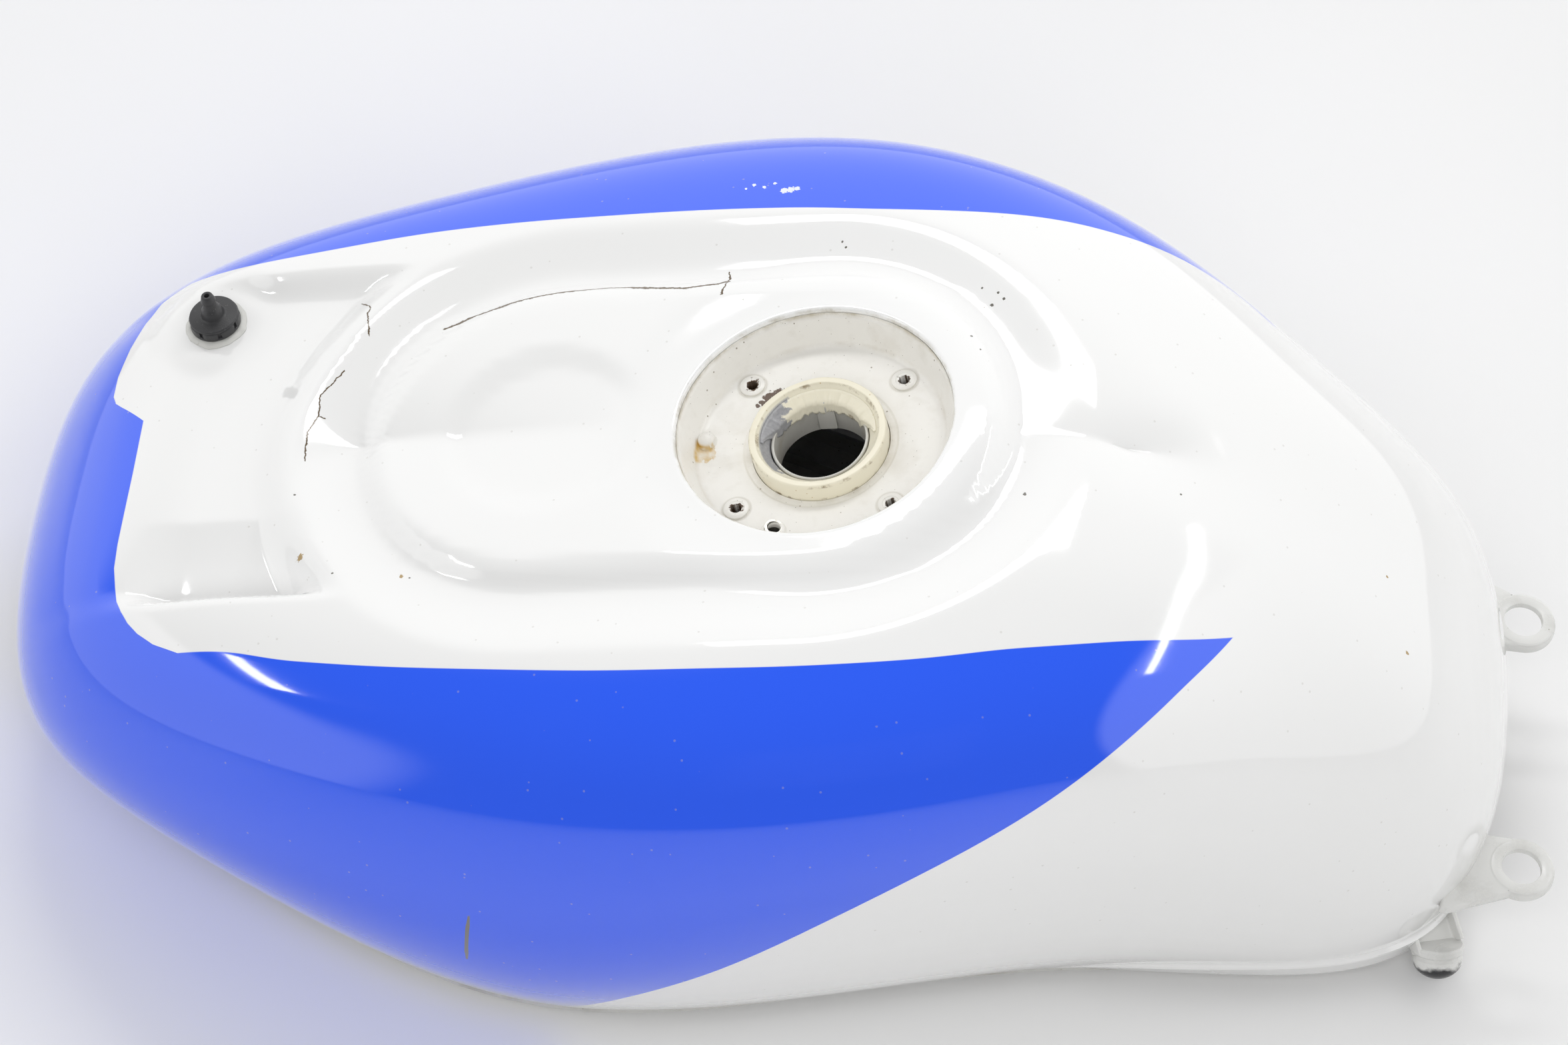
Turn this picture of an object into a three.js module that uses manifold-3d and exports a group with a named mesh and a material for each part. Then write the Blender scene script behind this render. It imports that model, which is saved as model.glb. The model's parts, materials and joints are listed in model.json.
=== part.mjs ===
// Motorcycle fuel tank, in millimetres: +X forward, +Y to the rider's left, +Z up, z = 0 on the rest plane.
// The pressed shell is a bicubic B-spline surface over a hand-placed cage; every fitting is its own mesh.
import * as THREE from "three";
import { mergeVertices } from "three/addons/utils/BufferGeometryUtils.js";
import Module from "manifold-3d";

const wasm = await Module();
wasm.setup();

// ---------------------------------------------------------------- driving sizes
const BODY_LENGTH = 673; // nose to tail of the pressed shell
const BODY_WIDTH = 406;
const BODY_HEIGHT = 231; // hem to crest
const SHELL_T = 1.5;
const HEM_Z = 14; // the hem stands this far above the rest plane
const CENTRE_X = 6; // puts the middle of the overall length at x = 0

const FILLER_TILT = 15; // degrees, leaning forward
const FILLER_Z = 216; // above the hem
const RECESS_R = 60;
const CUP_DEPTH = 17;
const CUP_DRAFT = 4; // the cup's wall closes in by this much down to its floor
const CUP_FLOOR_R = RECESS_R - CUP_DRAFT;
const NECK_R = 30;
const NECK_BORE_R = 21.5;
const NECK_RISE = 9; // ring above the cup floor
const NECK_DROP = 28; // tube below the cup floor
const SCREW_INSET = 12.62; // cap screws, in from the recess wall
const DOWEL_INSET = 9.4;
const DOWEL_TURN = -4; // degrees round the filler, from its front towards the left
const DRAIN_INSET = 12.3;
const DRAIN_TURN = 70.66;
const DRAIN_R = 4;
const DRAIN_CLEAR = 5; // between the drain tube and the frame tunnel

const TRACK_MARGIN = 14; // raised racetrack land, out from the recess
const TRACK_LENGTH = 110; // between the centres of its two round ends
const TRACK_STEP = 6;
const TRACK_WALL = 11;
const TRACK_FADE = 35;
const LAND_EDGE = 4; // the land is flat this far out from the recess
const LAND_FADE = 30;
const DISH_R = 43;
const DISH_X = 114; // ahead of the filler
const DISH_DROP = 1.8;
const DISH_WALL = 7;
// Lowered shelf behind the nose; its rear wall is bowed forward in the middle.
const SHELF = { drop: 9, wallX: 219, bow: 20, bowHalf: 66, wallRun: 25,
  frontX: 262, frontRun: 44, frontFade: 0.8, sideY: 84, sideRun: 14 };
// Handlebar pocket in the left of the shelf.
const POCKET = { drop: 9, creaseY: 40, slopeRun: 33, rimY: 74, rimRun: 12, frontX: 262, frontRun: 26 };

const VENT_AT = [270, -72, 136]; // seat centre, above the hem
const VENT_TILT = 12;
const VENT_SEAT_R = 19;
const VENT_SEAT_FADE = 13;

const TUNNEL_HALF = 36;
const TUNNEL_TOP = 60;
const TUNNEL_CORNER = 12;
const PAN_T = 1.5;
const PAN_STEP_IN = 14; // the lower tray stands in by this much
const PAN_LOWER_H = 6; // from the pan's step up to the hem

const EAR_AT = [-339.6, 68, 43];
const EAR_R = 15.3;
const EAR_HOLE_R = 9;
const EAR_REACH = 36; // from the hole forward into the shell
const EAR_ROOT = 46;
const EAR_SHIFT = -3;
const PAD_AT = [-310.7, 94.1, -2];
const PAD_R = 11.5;
const PAD_AXIS = [-0.12, 0.574, -0.81];
const STRAP_Z = 6.2; // middle of the stay's strap

const FRONT_MOUNT_X = 255;
const TAP_AT = [40, -95];
const TAP_BORE_R = 9;
const TAP_SCREW_X = 18;
const BAFFLES_X = [130, -140];
const BAFFLE_T = 1.5;
const BAFFLE_HOLE_R = 14;
const BAFFLE_HOLE_PITCH = 97.4;
const BAFFLE_HOLE_Z = 115.5; // above the hem

const GAP = 0.3; // left between neighbouring nodes

// ---------------------------------------------------------------- control cage of the shell
// Rows run from the spine outward and down to the hem; columns from the nose round the left side to the tail.
const CAGE_SIZE = [673, 406, 231];
const CAGE = [
  { spine: [190, 0, 166], crown: [266, 0, 148], shoulder: [330, 0, 118],
    waist: [350, 0, 62], tuck: [336, 0, 24], hem: [312, 0, 0] },
  { spine: [185, 0, 167], crown: [262, 54, 149], shoulder: [326, 74, 120],
    waist: [346, 86, 62], tuck: [332, 82, 24], hem: [306, 72, 0] },
  { spine: [165, 0, 172], crown: [226, 90, 158], shoulder: [276, 124, 136],
    waist: [300, 142, 72], tuck: [284, 120, 26], hem: [262, 98, 0] },
  { spine: [120, 0, 184], crown: [152, 110, 176], shoulder: [180, 156, 160],
    waist: [192, 184, 84], tuck: [190, 172, 30], hem: [182, 154, 0] },
  { spine: [60, 0, 200], crown: [66, 118, 202], shoulder: [74, 188, 190],
    waist: [78, 214, 96], tuck: [80, 204, 34], hem: [80, 186, 0] },
  { spine: [-5, 0, 217], crown: [-20, 122, 226], shoulder: [-32, 196, 216],
    waist: [-38, 204, 102], tuck: [-34, 180, 36], hem: [-30, 154, 0] },
  { spine: [-65, 0, 228], crown: [-106, 104, 240], shoulder: [-144, 160, 212],
    waist: [-154, 158, 100], tuck: [-152, 138, 36], hem: [-148, 116, 0] },
  { spine: [-110, 0, 232], crown: [-172, 70, 224], shoulder: [-234, 106, 170],
    waist: [-252, 124, 88], tuck: [-256, 124, 36], hem: [-256, 114, 0] },
  { spine: [-130, 0, 230], crown: [-210, 40, 210], shoulder: [-292, 68, 154],
    waist: [-324, 86, 78], tuck: [-324, 88, 32], hem: [-316, 84, 0] },
  { spine: [-136, 0, 229], crown: [-216, 0, 206], shoulder: [-298, 0, 150],
    waist: [-334, 0, 76], tuck: [-334, 0, 30], hem: [-324, 0, 0] },
];
const ROWS = ["spine", "crown", "shoulder", "waist", "tuck", "hem"];
const AROUND = 96; // facets round the shell
const TOP_STEPS = 16; // facets from the spine to the shoulder row
const SIDE_STEPS = 6; // and on down to the hem
const RELIEF_FADE = 2.1; // the reliefs die out between these two rows
const RELIEF_FOOT = 2.6;

const SCALE = [BODY_LENGTH, BODY_WIDTH, BODY_HEIGHT].map((v, i) => v / CAGE_SIZE[i]);
const RAD = Math.PI / 180;
const TILT = FILLER_TILT * RAD;

// A cage point given above the hem, moved into the part's frame.
const place = ([x, y, z]) => [x * SCALE[0] + CENTRE_X, y * SCALE[1], z * SCALE[2] + HEM_Z];
const FILLER = [CENTRE_X, 0, FILLER_Z * SCALE[2] + HEM_Z];

// ---------------------------------------------------------------- shell surface
const clamp01 = (t) => Math.min(1, Math.max(0, t));
const smooth = (a, b, t) => {
  const s = clamp01((t - a) / (b - a));
  return s * s * (3 - 2 * s);
};

function cageRows() {
  const half = ROWS.map((row) => CAGE.map((column) => column[row]));
  const full = half.map((row) => [
    ...row,
    ...row.slice(1, -1).reverse().map(([x, y, z]) => [x, -y, z]),
  ]);
  const n = full.length - 1;
  const before = full[0].map((p, i) => [2 * p[0] - full[1][i][0], -full[1][i][1], full[1][i][2]]);
  const after = full[n].map((p, i) => p.map((v, k) => 2 * v - full[n - 1][i][k]));
  return [before, ...full, after];
}
const NET = cageRows();
const COLUMNS = NET[0].length;

const basis = (t) => [
  (1 - t) ** 3 / 6,
  (3 * t ** 3 - 6 * t ** 2 + 4) / 6,
  (-3 * t ** 3 + 3 * t ** 2 + 3 * t + 1) / 6,
  t ** 3 / 6,
];

function cageSurface(u, v) {
  const i = Math.floor(u);
  const j = Math.min(Math.floor(v), ROWS.length - 2);
  const bu = basis(u - i);
  const bv = basis(v - j);
  const out = [0, 0, 0];
  for (let a = 0; a < 4; a++)
    for (let b = 0; b < 4; b++) {
      const p = NET[j + a][(i - 1 + b + COLUMNS) % COLUMNS];
      for (let k = 0; k < 3; k++) out[k] += bv[a] * bu[b] * p[k];
    }
  return out;
}

const after = (edge, run, t) => smooth(edge, edge + run, t);

// Height added to blend a point down to a tilted flat seat about a centre.
const flatten = (x, z, centre, tilt) => centre[2] - Math.tan(tilt) * (x - centre[0]) - z;

// Height of the pressed reliefs on the top of the tank, added to the plain surface.
function relief([px, y, z]) {
  const x = px - FILLER[0];
  const lengthwise = x / SCALE[0];
  // racetrack land: the metal outside it steps down, then fades back to the plain surface
  const along = Math.min(Math.max(x, 0), TRACK_LENGTH);
  const outside = Math.hypot(x - along, y) - RECESS_R - TRACK_MARGIN;
  let h = -TRACK_STEP * after(0, TRACK_WALL, outside) * (1 - after(TRACK_WALL, TRACK_FADE, outside));
  // shallow dish ahead of the filler
  h -= DISH_DROP * (1 - smooth(DISH_R - DISH_WALL, DISH_R, Math.hypot(x - DISH_X, y)));
  // shelf and pocket
  const wall = SHELF.wallX - SHELF.bow * (y / SHELF.bowHalf) ** 2;
  const front = 1 - SHELF.frontFade * after(SHELF.frontX, SHELF.frontRun, lengthwise);
  const sideY = y > 0 ? POCKET.rimY : SHELF.sideY;
  const sides = 1 - after(sideY, SHELF.sideRun, Math.abs(y));
  const shelf = after(wall, SHELF.wallRun, lengthwise);
  const pocket = clamp01((y - POCKET.creaseY) / POCKET.slopeRun) * (1 - after(POCKET.rimY, POCKET.rimRun, y));
  h = h * (1 - shelf) - SHELF.drop * shelf * front * sides;
  h -= POCKET.drop * shelf * pocket * (1 - after(POCKET.frontX, POCKET.frontRun, lengthwise));
  // flat land round the recess
  const land = 1 - after(RECESS_R + LAND_EDGE, LAND_FADE, Math.hypot(x / Math.cos(TILT), y));
  h = h * (1 - land) + flatten(px, z, FILLER, TILT) * land;
  // flat seat of the vent
  const vent = place(VENT_AT);
  const seat = 1 - after(VENT_SEAT_R, VENT_SEAT_FADE, Math.hypot(px - vent[0], y - vent[1]));
  return h * (1 - seat) + flatten(px, z, vent, VENT_TILT * RAD) * seat;
}

function skinGrid() {
  const last = ROWS.length - 1;
  const vs = [];
  for (let i = 0; i <= TOP_STEPS; i++) vs.push((2 * i) / TOP_STEPS);
  for (let i = 1; i <= SIDE_STEPS; i++) vs.push(2 + ((last - 2) * i) / SIDE_STEPS);
  return vs.map((v) => {
    const row = [];
    for (let i = 0; i < AROUND; i++) {
      const p = place(cageSurface((i * COLUMNS) / AROUND, v));
      const drop = v < RELIEF_FOOT ? relief(p) * (1 - smooth(RELIEF_FADE, RELIEF_FOOT, v)) : 0;
      row.push([p[0], p[1], p[2] + drop]);
    }
    return row;
  });
}
const GRID = skinGrid();
const N_ROWS = GRID.length;
// On the spine row the left and right halves share their points.
const vertexId = (r, i) => (r ? r * AROUND + (i % AROUND) : Math.min(i % AROUND, AROUND - (i % AROUND)));

function skinTriangles() {
  const tris = [];
  for (let r = 0; r < N_ROWS - 1; r++)
    for (let i = 0; i < AROUND; i++) {
      const [a, b, c, d] = [vertexId(r, i), vertexId(r + 1, i), vertexId(r + 1, i + 1), vertexId(r, i + 1)];
      tris.push([a, b, c], [a, c, d]);
    }
  return tris;
}
const SKIN = skinTriangles();

function skinNormals() {
  const n = GRID.flat().map(() => new THREE.Vector3());
  const at = GRID.flat().map((p) => new THREE.Vector3(...p));
  for (const t of SKIN) {
    const [a, b, c] = t.map((k) => at[k]);
    const face = b.clone().sub(a).cross(c.clone().sub(a));
    t.forEach((k) => n[k].add(face));
  }
  return n.map((v) => v.normalize());
}
const NORMALS = skinNormals();

// The skin's points moved along their normals; the hem stays on its own level.
function offsetSkin(distance) {
  return GRID.flat().map((p, k) => {
    const n = NORMALS[k].clone();
    if (k >= (N_ROWS - 1) * AROUND) {
      n.z = 0;
      n.normalize();
    }
    return [p[0] + n.x * distance, p[1] + n.y * distance, p[2] + n.z * distance];
  });
}

const ring = (first) => Array.from({ length: AROUND }, (_, i) => first + i);
const HEM_FIRST = (N_ROWS - 1) * AROUND;

// Quads between two rings of points, facing away from the axis when the first ring is on top.
function band(upper, lower) {
  const tris = [];
  for (let i = 0; i < AROUND; i++) {
    const k = (i + 1) % AROUND;
    tris.push([upper[i], lower[i], lower[k]], [upper[i], lower[k], upper[k]]);
  }
  return tris;
}

function meshGeometry(points, triangles) {
  const geometry = new THREE.BufferGeometry();
  geometry.setAttribute("position", new THREE.Float32BufferAttribute(points.flat(), 3));
  geometry.setIndex(triangles.flat());
  return geometry;
}

// The skin and its inner face, joined along the hem.
function pressing() {
  const outer = offsetSkin(0);
  const inner = offsetSkin(-SHELL_T);
  const n = outer.length;
  const inside = SKIN.map(([a, b, c]) => [a + n, c + n, b + n]);
  const rim = band(ring(HEM_FIRST), ring(HEM_FIRST + n));
  return meshGeometry([...outer, ...inner], [...SKIN, ...inside, ...rim]);
}

// The space under the skin at a given offset, closed by a floor at zFloor.
function filled(distance, zFloor) {
  const points = offsetSkin(distance);
  const foot = points.length;
  for (const k of ring(HEM_FIRST)) points.push([points[k][0], points[k][1], zFloor]);
  const centre = points.push([CENTRE_X, 0, zFloor]) - 1;
  const cap = ring(foot).map((k, i, all) => [k, centre, all[(i + 1) % AROUND]]);
  return meshGeometry(points, [...SKIN, ...band(ring(HEM_FIRST), ring(foot)), ...cap]);
}

// ---------------------------------------------------------------- shapes
const quarter = Math.PI / 2;

const rod = (r, z0, z1, facets = 32) =>
  new THREE.CylinderGeometry(r, r, z1 - z0, facets).rotateX(quarter).translate(0, 0, (z0 + z1) / 2);

const block = (x0, x1, y0, y1, z0, z1) =>
  new THREE.BoxGeometry(x1 - x0, y1 - y0, z1 - z0).translate((x0 + x1) / 2, (y0 + y1) / 2, (z0 + z1) / 2);

// Turns a closed [radius, height] profile about Z; points on the axis leave the profile open there.
function lathe(profile, facets = 40) {
  const onAxis = profile[0][0] === 0;
  const points = profile.map(([r, z]) => new THREE.Vector2(r, z));
  if (!onAxis) points.push(points[0].clone());
  return new THREE.LatheGeometry(points, facets).rotateX(quarter);
}

function plate(shape, z0, z1, curveSegments = 14) {
  const options = { depth: z1 - z0, bevelEnabled: false, curveSegments };
  return new THREE.ExtrudeGeometry(shape, options).translate(0, 0, z0);
}

function polygon(points) {
  return new THREE.Shape(points.map(([x, y]) => new THREE.Vector2(x, y)));
}

// The hem's outline moved inwards and raised into a slab.
function hemSlab(inset, z0, z1) {
  const outline = offsetSkin(-inset).slice(HEM_FIRST, HEM_FIRST + AROUND);
  return plate(polygon(outline), z0, z1);
}

function tunnelBar(grow) {
  const w = TUNNEL_HALF + grow;
  const top = TUNNEL_TOP + grow;
  const r = TUNNEL_CORNER;
  const shape = polygon([[-w, -5], [w, -5], [w, top - r]]);
  shape.absarc(w - r, top - r, r, 0, quarter);
  shape.absarc(r - w, top - r, r, quarter, 2 * quarter);
  shape.lineTo(-w, -5);
  const reach = BODY_LENGTH / 2 + 20;
  return plate(shape, -reach, reach, 4).rotateX(quarter).rotateZ(quarter).translate(CENTRE_X, 0, 0);
}

// ---------------------------------------------------------------- joins and cuts
function solid(geometry) {
  const bare = geometry.clone();
  bare.deleteAttribute("normal");
  bare.deleteAttribute("uv");
  const merged = mergeVertices(bare, 1e-4);
  const index = Array.from(merged.index.array);
  const kept = [];
  for (let i = 0; i < index.length; i += 3) {
    const [a, b, c] = index.slice(i, i + 3);
    if (a !== b && b !== c && a !== c) kept.push(a, b, c);
  }
  const made = (order) =>
    new wasm.Manifold(
      new wasm.Mesh({
        numProp: 3,
        vertProperties: merged.attributes.position.array,
        triVerts: new Uint32Array(order),
      }),
    );
  const first = made(kept);
  return first.volume() < 0 ? made(kept.reverse()) : first;
}

const join = (...geometries) => geometries.map(solid).reduce((a, b) => a.add(b));

// A boolean result as a plain three.js geometry.
function geometryOf(result) {
  const mesh = result.getMesh();
  const geometry = new THREE.BufferGeometry();
  const points = [];
  for (let i = 0; i < mesh.numVert; i++) {
    points.push(...mesh.vertProperties.slice(i * mesh.numProp, i * mesh.numProp + 3));
  }
  geometry.setAttribute("position", new THREE.Float32BufferAttribute(points, 3));
  geometry.setIndex(Array.from(mesh.triVerts));
  const flat = geometry.toNonIndexed();
  flat.computeVertexNormals();
  return flat;
}

// ---------------------------------------------------------------- frames
const part = new THREE.Group();
part.name = "fuel_tank";

function frameAt(name, position, tilt) {
  const group = new THREE.Group();
  group.name = name;
  group.position.set(...position);
  group.rotation.y = tilt;
  part.add(group);
  group.updateMatrixWorld(true);
  return group;
}
const fillerFrame = frameAt("filler", FILLER, TILT);
const ventFrame = frameAt("vent", place(VENT_AT), VENT_TILT * RAD);

const fromFrame = (frame, geometry) => geometry.clone().applyMatrix4(frame.matrixWorld);
const intoFrame = (frame, geometry) => geometry.clone().applyMatrix4(frame.matrixWorld.clone().invert());

// Turns a geometry built along +Z so that it points along a direction from an origin.
function aimed(geometry, direction, origin) {
  const up = new THREE.Vector3(0, 0, 1);
  const q = new THREE.Quaternion().setFromUnitVectors(up, direction.clone().normalize());
  return geometry.applyQuaternion(q).translate(...origin.toArray());
}

// ---------------------------------------------------------------- shell and pan
// A place on the cup floor, in from the recess wall and turned round the filler.
const onFloor = (inset, turn) => [Math.cos, Math.sin].map((f) => (RECESS_R - inset) * f(turn * RAD));
const SCREWS = {
  front_left: onFloor(SCREW_INSET, 45),
  front_right: onFloor(SCREW_INSET, -45),
  rear_left: onFloor(SCREW_INSET, 135),
  rear_right: onFloor(SCREW_INSET, -135),
};
const DOWEL_AT = onFloor(DOWEL_INSET, DOWEL_TURN);
const DRAIN_AT = onFloor(DRAIN_INSET, DRAIN_TURN);
const CUP_WALL = 1.5;
const SCREW_STEM_R = 3.9;
const DOWEL_STEM_R = 3;
const SEAL_R = 14;
const BOSS_R = 6.1;

// The drain tube runs from its hole in the cup floor down to the pan, just outside the frame tunnel.
const DRAIN_TOP = [
  FILLER[0] + DRAIN_AT[0] * Math.cos(TILT) - CUP_DEPTH * Math.sin(TILT),
  DRAIN_AT[1],
  FILLER[2] - DRAIN_AT[0] * Math.sin(TILT) - CUP_DEPTH * Math.cos(TILT),
];
const DRAIN_FOOT_Y = TUNNEL_HALF + DRAIN_CLEAR + DRAIN_R;
const DRAIN_LEAN = Math.atan2(DRAIN_FOOT_Y - DRAIN_TOP[1], DRAIN_TOP[2]);
const TAP_XY = [TAP_AT[0] * SCALE[0] + CENTRE_X, TAP_AT[1] * SCALE[1]];

const drainRod = (r, z0, z1) =>
  rod(r, z0, z1, 16).rotateX(DRAIN_LEAN).translate(DRAIN_TOP[0], DRAIN_FOOT_Y, 0);
const tapHoles = () =>
  join(
    rod(TAP_BORE_R, -5, 20).translate(...TAP_XY, 0),
    ...[-1, 1].map((side) => rod(3, -5, 20, 16).translate(TAP_XY[0] + side * TAP_SCREW_X, TAP_XY[1], 0)),
  );

function outerShell() {
  return solid(pressing())
    .subtract(solid(fromFrame(fillerFrame, rod(RECESS_R, -40, 40, 64))))
    .subtract(solid(fromFrame(ventFrame, rod(BOSS_R + GAP, -30, 30))))
    .subtract(solid(fromFrame(ventFrame, rod(SEAL_R + 0.6, 0.1, 12, 40))))
    .subtract(solid(tunnelBar(GAP)));
}

// A stepped tray inside the hem, with the frame tunnel pressed up through it.
function floorPan() {
  const lip = SHELL_T + 0.4;
  const step = HEM_Z - PAN_LOWER_H;
  return solid(hemSlab(lip, step, HEM_Z + 6))
    .subtract(solid(hemSlab(lip + PAN_T, step + PAN_T, HEM_Z + 7)))
    .add(solid(hemSlab(PAN_STEP_IN, 0, step + 1)))
    .subtract(solid(hemSlab(PAN_STEP_IN + PAN_T, PAN_T, step + 4)))
    .add(solid(tunnelBar(0)))
    .subtract(solid(tunnelBar(-PAN_T)))
    .intersect(solid(filled(0, 0)))
    .subtract(solid(drainRod(DRAIN_R + GAP, -5, 10)))
    .subtract(tapHoles());
}

// ---------------------------------------------------------------- filler fittings, in the filler's frame
function fillerCup() {
  const r = RECESS_R - GAP;
  const floor = -CUP_DEPTH;
  const cup = lathe([
    [NECK_R + GAP, floor - CUP_WALL], [CUP_FLOOR_R, floor - CUP_WALL], [CUP_FLOOR_R + 1.6, floor + 1],
    [r, -1.2], [r, 0], [r - 0.8, 0], [r - 1.8, -1.2], [CUP_FLOOR_R, floor + 1.2],
    [CUP_FLOOR_R - 1.4, floor], [NECK_R + GAP, floor],
  ], 48);
  const screwHole = ([a, b]) => rod(SCREW_STEM_R + GAP, -40, 0, 14).translate(a, b, 0);
  const screws = Object.values(SCREWS).map(screwHole);
  return solid(cup)
    .subtract(join(...screws, rod(DOWEL_STEM_R + GAP, -40, 0, 14).translate(...DOWEL_AT, 0)))
    .subtract(solid(intoFrame(fillerFrame, drainRod(DRAIN_R + GAP, 0, 600))));
}

function fillerNeck() {
  const top = NECK_RISE - CUP_DEPTH;
  const foot = -CUP_DEPTH - NECK_DROP;
  return solid(lathe([
    [NECK_BORE_R, foot], [NECK_BORE_R + 3, foot], [NECK_BORE_R + 3, -CUP_DEPTH - 8],
    [NECK_R, -CUP_DEPTH - 6], [NECK_R, top - 1.4], [NECK_R - 1.2, top], [NECK_BORE_R + 1.4, top],
    [NECK_BORE_R, top - 1.6],
  ], 44));
}

function neckSleeve() {
  const r = NECK_BORE_R - GAP;
  const top = NECK_RISE - CUP_DEPTH - 5;
  const tube = lathe([[r - 1.3, top - 24], [r, top - 24], [r, top], [r - 1.3, top]], 40);
  return join(tube, block(-4, 4, 0.2 - r, 1.4 - r, top - 6, top + 2.5));
}

function screwBoss([a, b]) {
  const z = -CUP_DEPTH;
  const r = SCREW_STEM_R;
  return solid(lathe([
    [2.3, z - 9], [r, z - 9], [r, z + GAP], [5.6, z + GAP], [5.6, z + 1], [4.9, z + 1.4], [2.3, z + 1.4],
  ], 16).translate(a, b, 0));
}

function locatingDowel() {
  const z = -CUP_DEPTH;
  const r = DOWEL_STEM_R;
  return solid(lathe([
    [0, z - 6], [r, z - 6], [r, z + GAP], [3.8, z + GAP], [3.7, z + 2],
    [2.9, z + 3.2], [1.5, z + 3.8], [0, z + 4],
  ], 16).translate(...DOWEL_AT, 0));
}

function drainTube() {
  const top = Math.hypot(DRAIN_TOP[2], DRAIN_FOOT_Y - DRAIN_TOP[1]) + 0.6;
  return solid(drainRod(DRAIN_R, 0.2, top)).subtract(solid(drainRod(DRAIN_R - 1, -1, top + 2)));
}

// ---------------------------------------------------------------- vent valve, in the vent's frame
const BALL_R = 2.3;
const SEAT_BORE_R = 1.8;
const BOSS_TOP = 5.2;
const BALL_Z = BOSS_TOP + Math.sqrt(BALL_R ** 2 - SEAT_BORE_R ** 2) + 0.4;
const CAP_R = 11.5;

const ventBoss = () =>
  solid(lathe([[SEAT_BORE_R, -14], [BOSS_R, -14], [BOSS_R, BOSS_TOP], [SEAT_BORE_R, BOSS_TOP]], 32));
const ventSeal = () =>
  solid(lathe([
    [BOSS_R + 0.4, 0.4], [SEAL_R, 0.4], [SEAL_R, 0.9], [SEAL_R - 1.4, 1.6], [BOSS_R + 0.4, 1.6],
  ], 40));
const ventBall = () => solid(new THREE.SphereGeometry(BALL_R, 16, 12).translate(0, 0, BALL_Z));
const ventPipe = () => solid(rod(3.4, -95, -14.3, 16)).subtract(solid(rod(2.4, -96, -14, 16)));

function ventCap() {
  const body = lathe([
    [BOSS_R + 0.4, 1.9], [CAP_R, 1.9], [CAP_R, 6.9], [CAP_R - 0.5, 7.4], [5, 7.4], [4.6, 13], [3.2, 13.8],
    [3.2, 17.2], [3.9, 17.5], [2.6, 20.6], [1.2, 20.6], [1.2, 12.6], [BALL_R + 0.5, 12],
    [BALL_R + 0.5, BOSS_TOP + 0.7], [BOSS_R + 0.4, BOSS_TOP + 0.7],
  ], 40);
  const notch = block(CAP_R - 1.9, CAP_R + 1.5, -1.7, 1.7, 3.2, 9);
  const notches = Array.from({ length: 8 }, (_, i) => notch.clone().rotateZ((i * Math.PI) / 4));
  return solid(body).subtract(join(...notches));
}

// ---------------------------------------------------------------- mounts
// The ear's outline about its hole: a round end whose sides spread towards the shell.
function earShape(inset) {
  const r = EAR_R - inset;
  const half = EAR_ROOT / 2 - inset;
  const shape = new THREE.Shape();
  shape.absarc(0, 0, r, 1.3, 2 * Math.PI - 1.45);
  shape.lineTo(EAR_REACH, EAR_SHIFT - half);
  shape.lineTo(EAR_REACH, EAR_SHIFT + half);
  return shape;
}

function rearEar() {
  const lifted = (geometry) => geometry.translate(...place(EAR_AT));
  const rim = solid(lifted(plate(earShape(0), -6.5, -0.5)))
    .subtract(solid(lifted(plate(earShape(2.2), -7, 0))));
  return join(lifted(plate(earShape(0), -1.3, 1.3)), lifted(rod(EAR_R - 0.8, 0, 2.2, 28)))
    .add(rim)
    .subtract(solid(lifted(rod(EAR_HOLE_R, -20, 20, 28))))
    .subtract(solid(filled(0.4, 0)));
}

// A channel that runs out from under the hem to a domed pad.
function sideStay() {
  const pad = new THREE.Vector3(...place(PAD_AT));
  const axis = new THREE.Vector3(...PAD_AXIS).normalize();
  const root = new THREE.Vector3(pad.x + 21, pad.y - 30, STRAP_Z);
  const run = pad.clone().sub(root);
  const reach = Math.hypot(run.x, run.y) - 3;
  const half = PAD_R - 0.5;
  const channel = [
    block(0, reach, -half, half, -1.2, 1.2),
    block(0, reach, -half, 2.2 - half, -1.2, 5.6),
    block(0, reach, half - 2.2, half, -1.2, 5.6),
  ].map((g) => g.rotateZ(Math.atan2(run.y, run.x)).translate(...root.toArray()));
  const dome = lathe([
    [0, -3], [PAD_R, -3], [PAD_R, 0.6], [PAD_R - 0.6, 2.4], [PAD_R - 2, 4.6], [PAD_R - 4.5, 6.2],
    [PAD_R - 8, 7.1], [0, 7.3],
  ], 28);
  return join(...channel, aimed(dome, axis, pad))
    .subtract(solid(hemSlab(PAN_STEP_IN - 0.4, -5, HEM_Z - PAN_LOWER_H + 1)))
    .subtract(solid(hemSlab(SHELL_T, HEM_Z - PAN_LOWER_H - 0.4, HEM_Z + 30)))
    .subtract(solid(filled(0.4, HEM_Z - 0.4)));
}

function frontMount() {
  const cup = lathe([[0, 0], [13, 0], [13, 14], [9.5, 14], [9, 12], [9, 3], [0, 3]], 28);
  const wall = TUNNEL_HALF - PAN_T - GAP;
  return solid(cup.rotateX(quarter).translate(FRONT_MOUNT_X * SCALE[0] + CENTRE_X, wall, TUNNEL_TOP / 2));
}

function tapFlange() {
  const shape = new THREE.Shape();
  shape.absarc(-TAP_SCREW_X, 0, 8, quarter, 3 * quarter);
  shape.absarc(0, 0, 15, 3 * quarter - 0.6, 3 * quarter + 0.6);
  shape.absarc(TAP_SCREW_X, 0, 8, -quarter, quarter);
  shape.absarc(0, 0, 15, quarter - 0.6, quarter + 0.6);
  return solid(plate(shape, PAN_T + GAP, PAN_T + GAP + 8, 8).translate(...TAP_XY, 0)).subtract(tapHoles());
}

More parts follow.
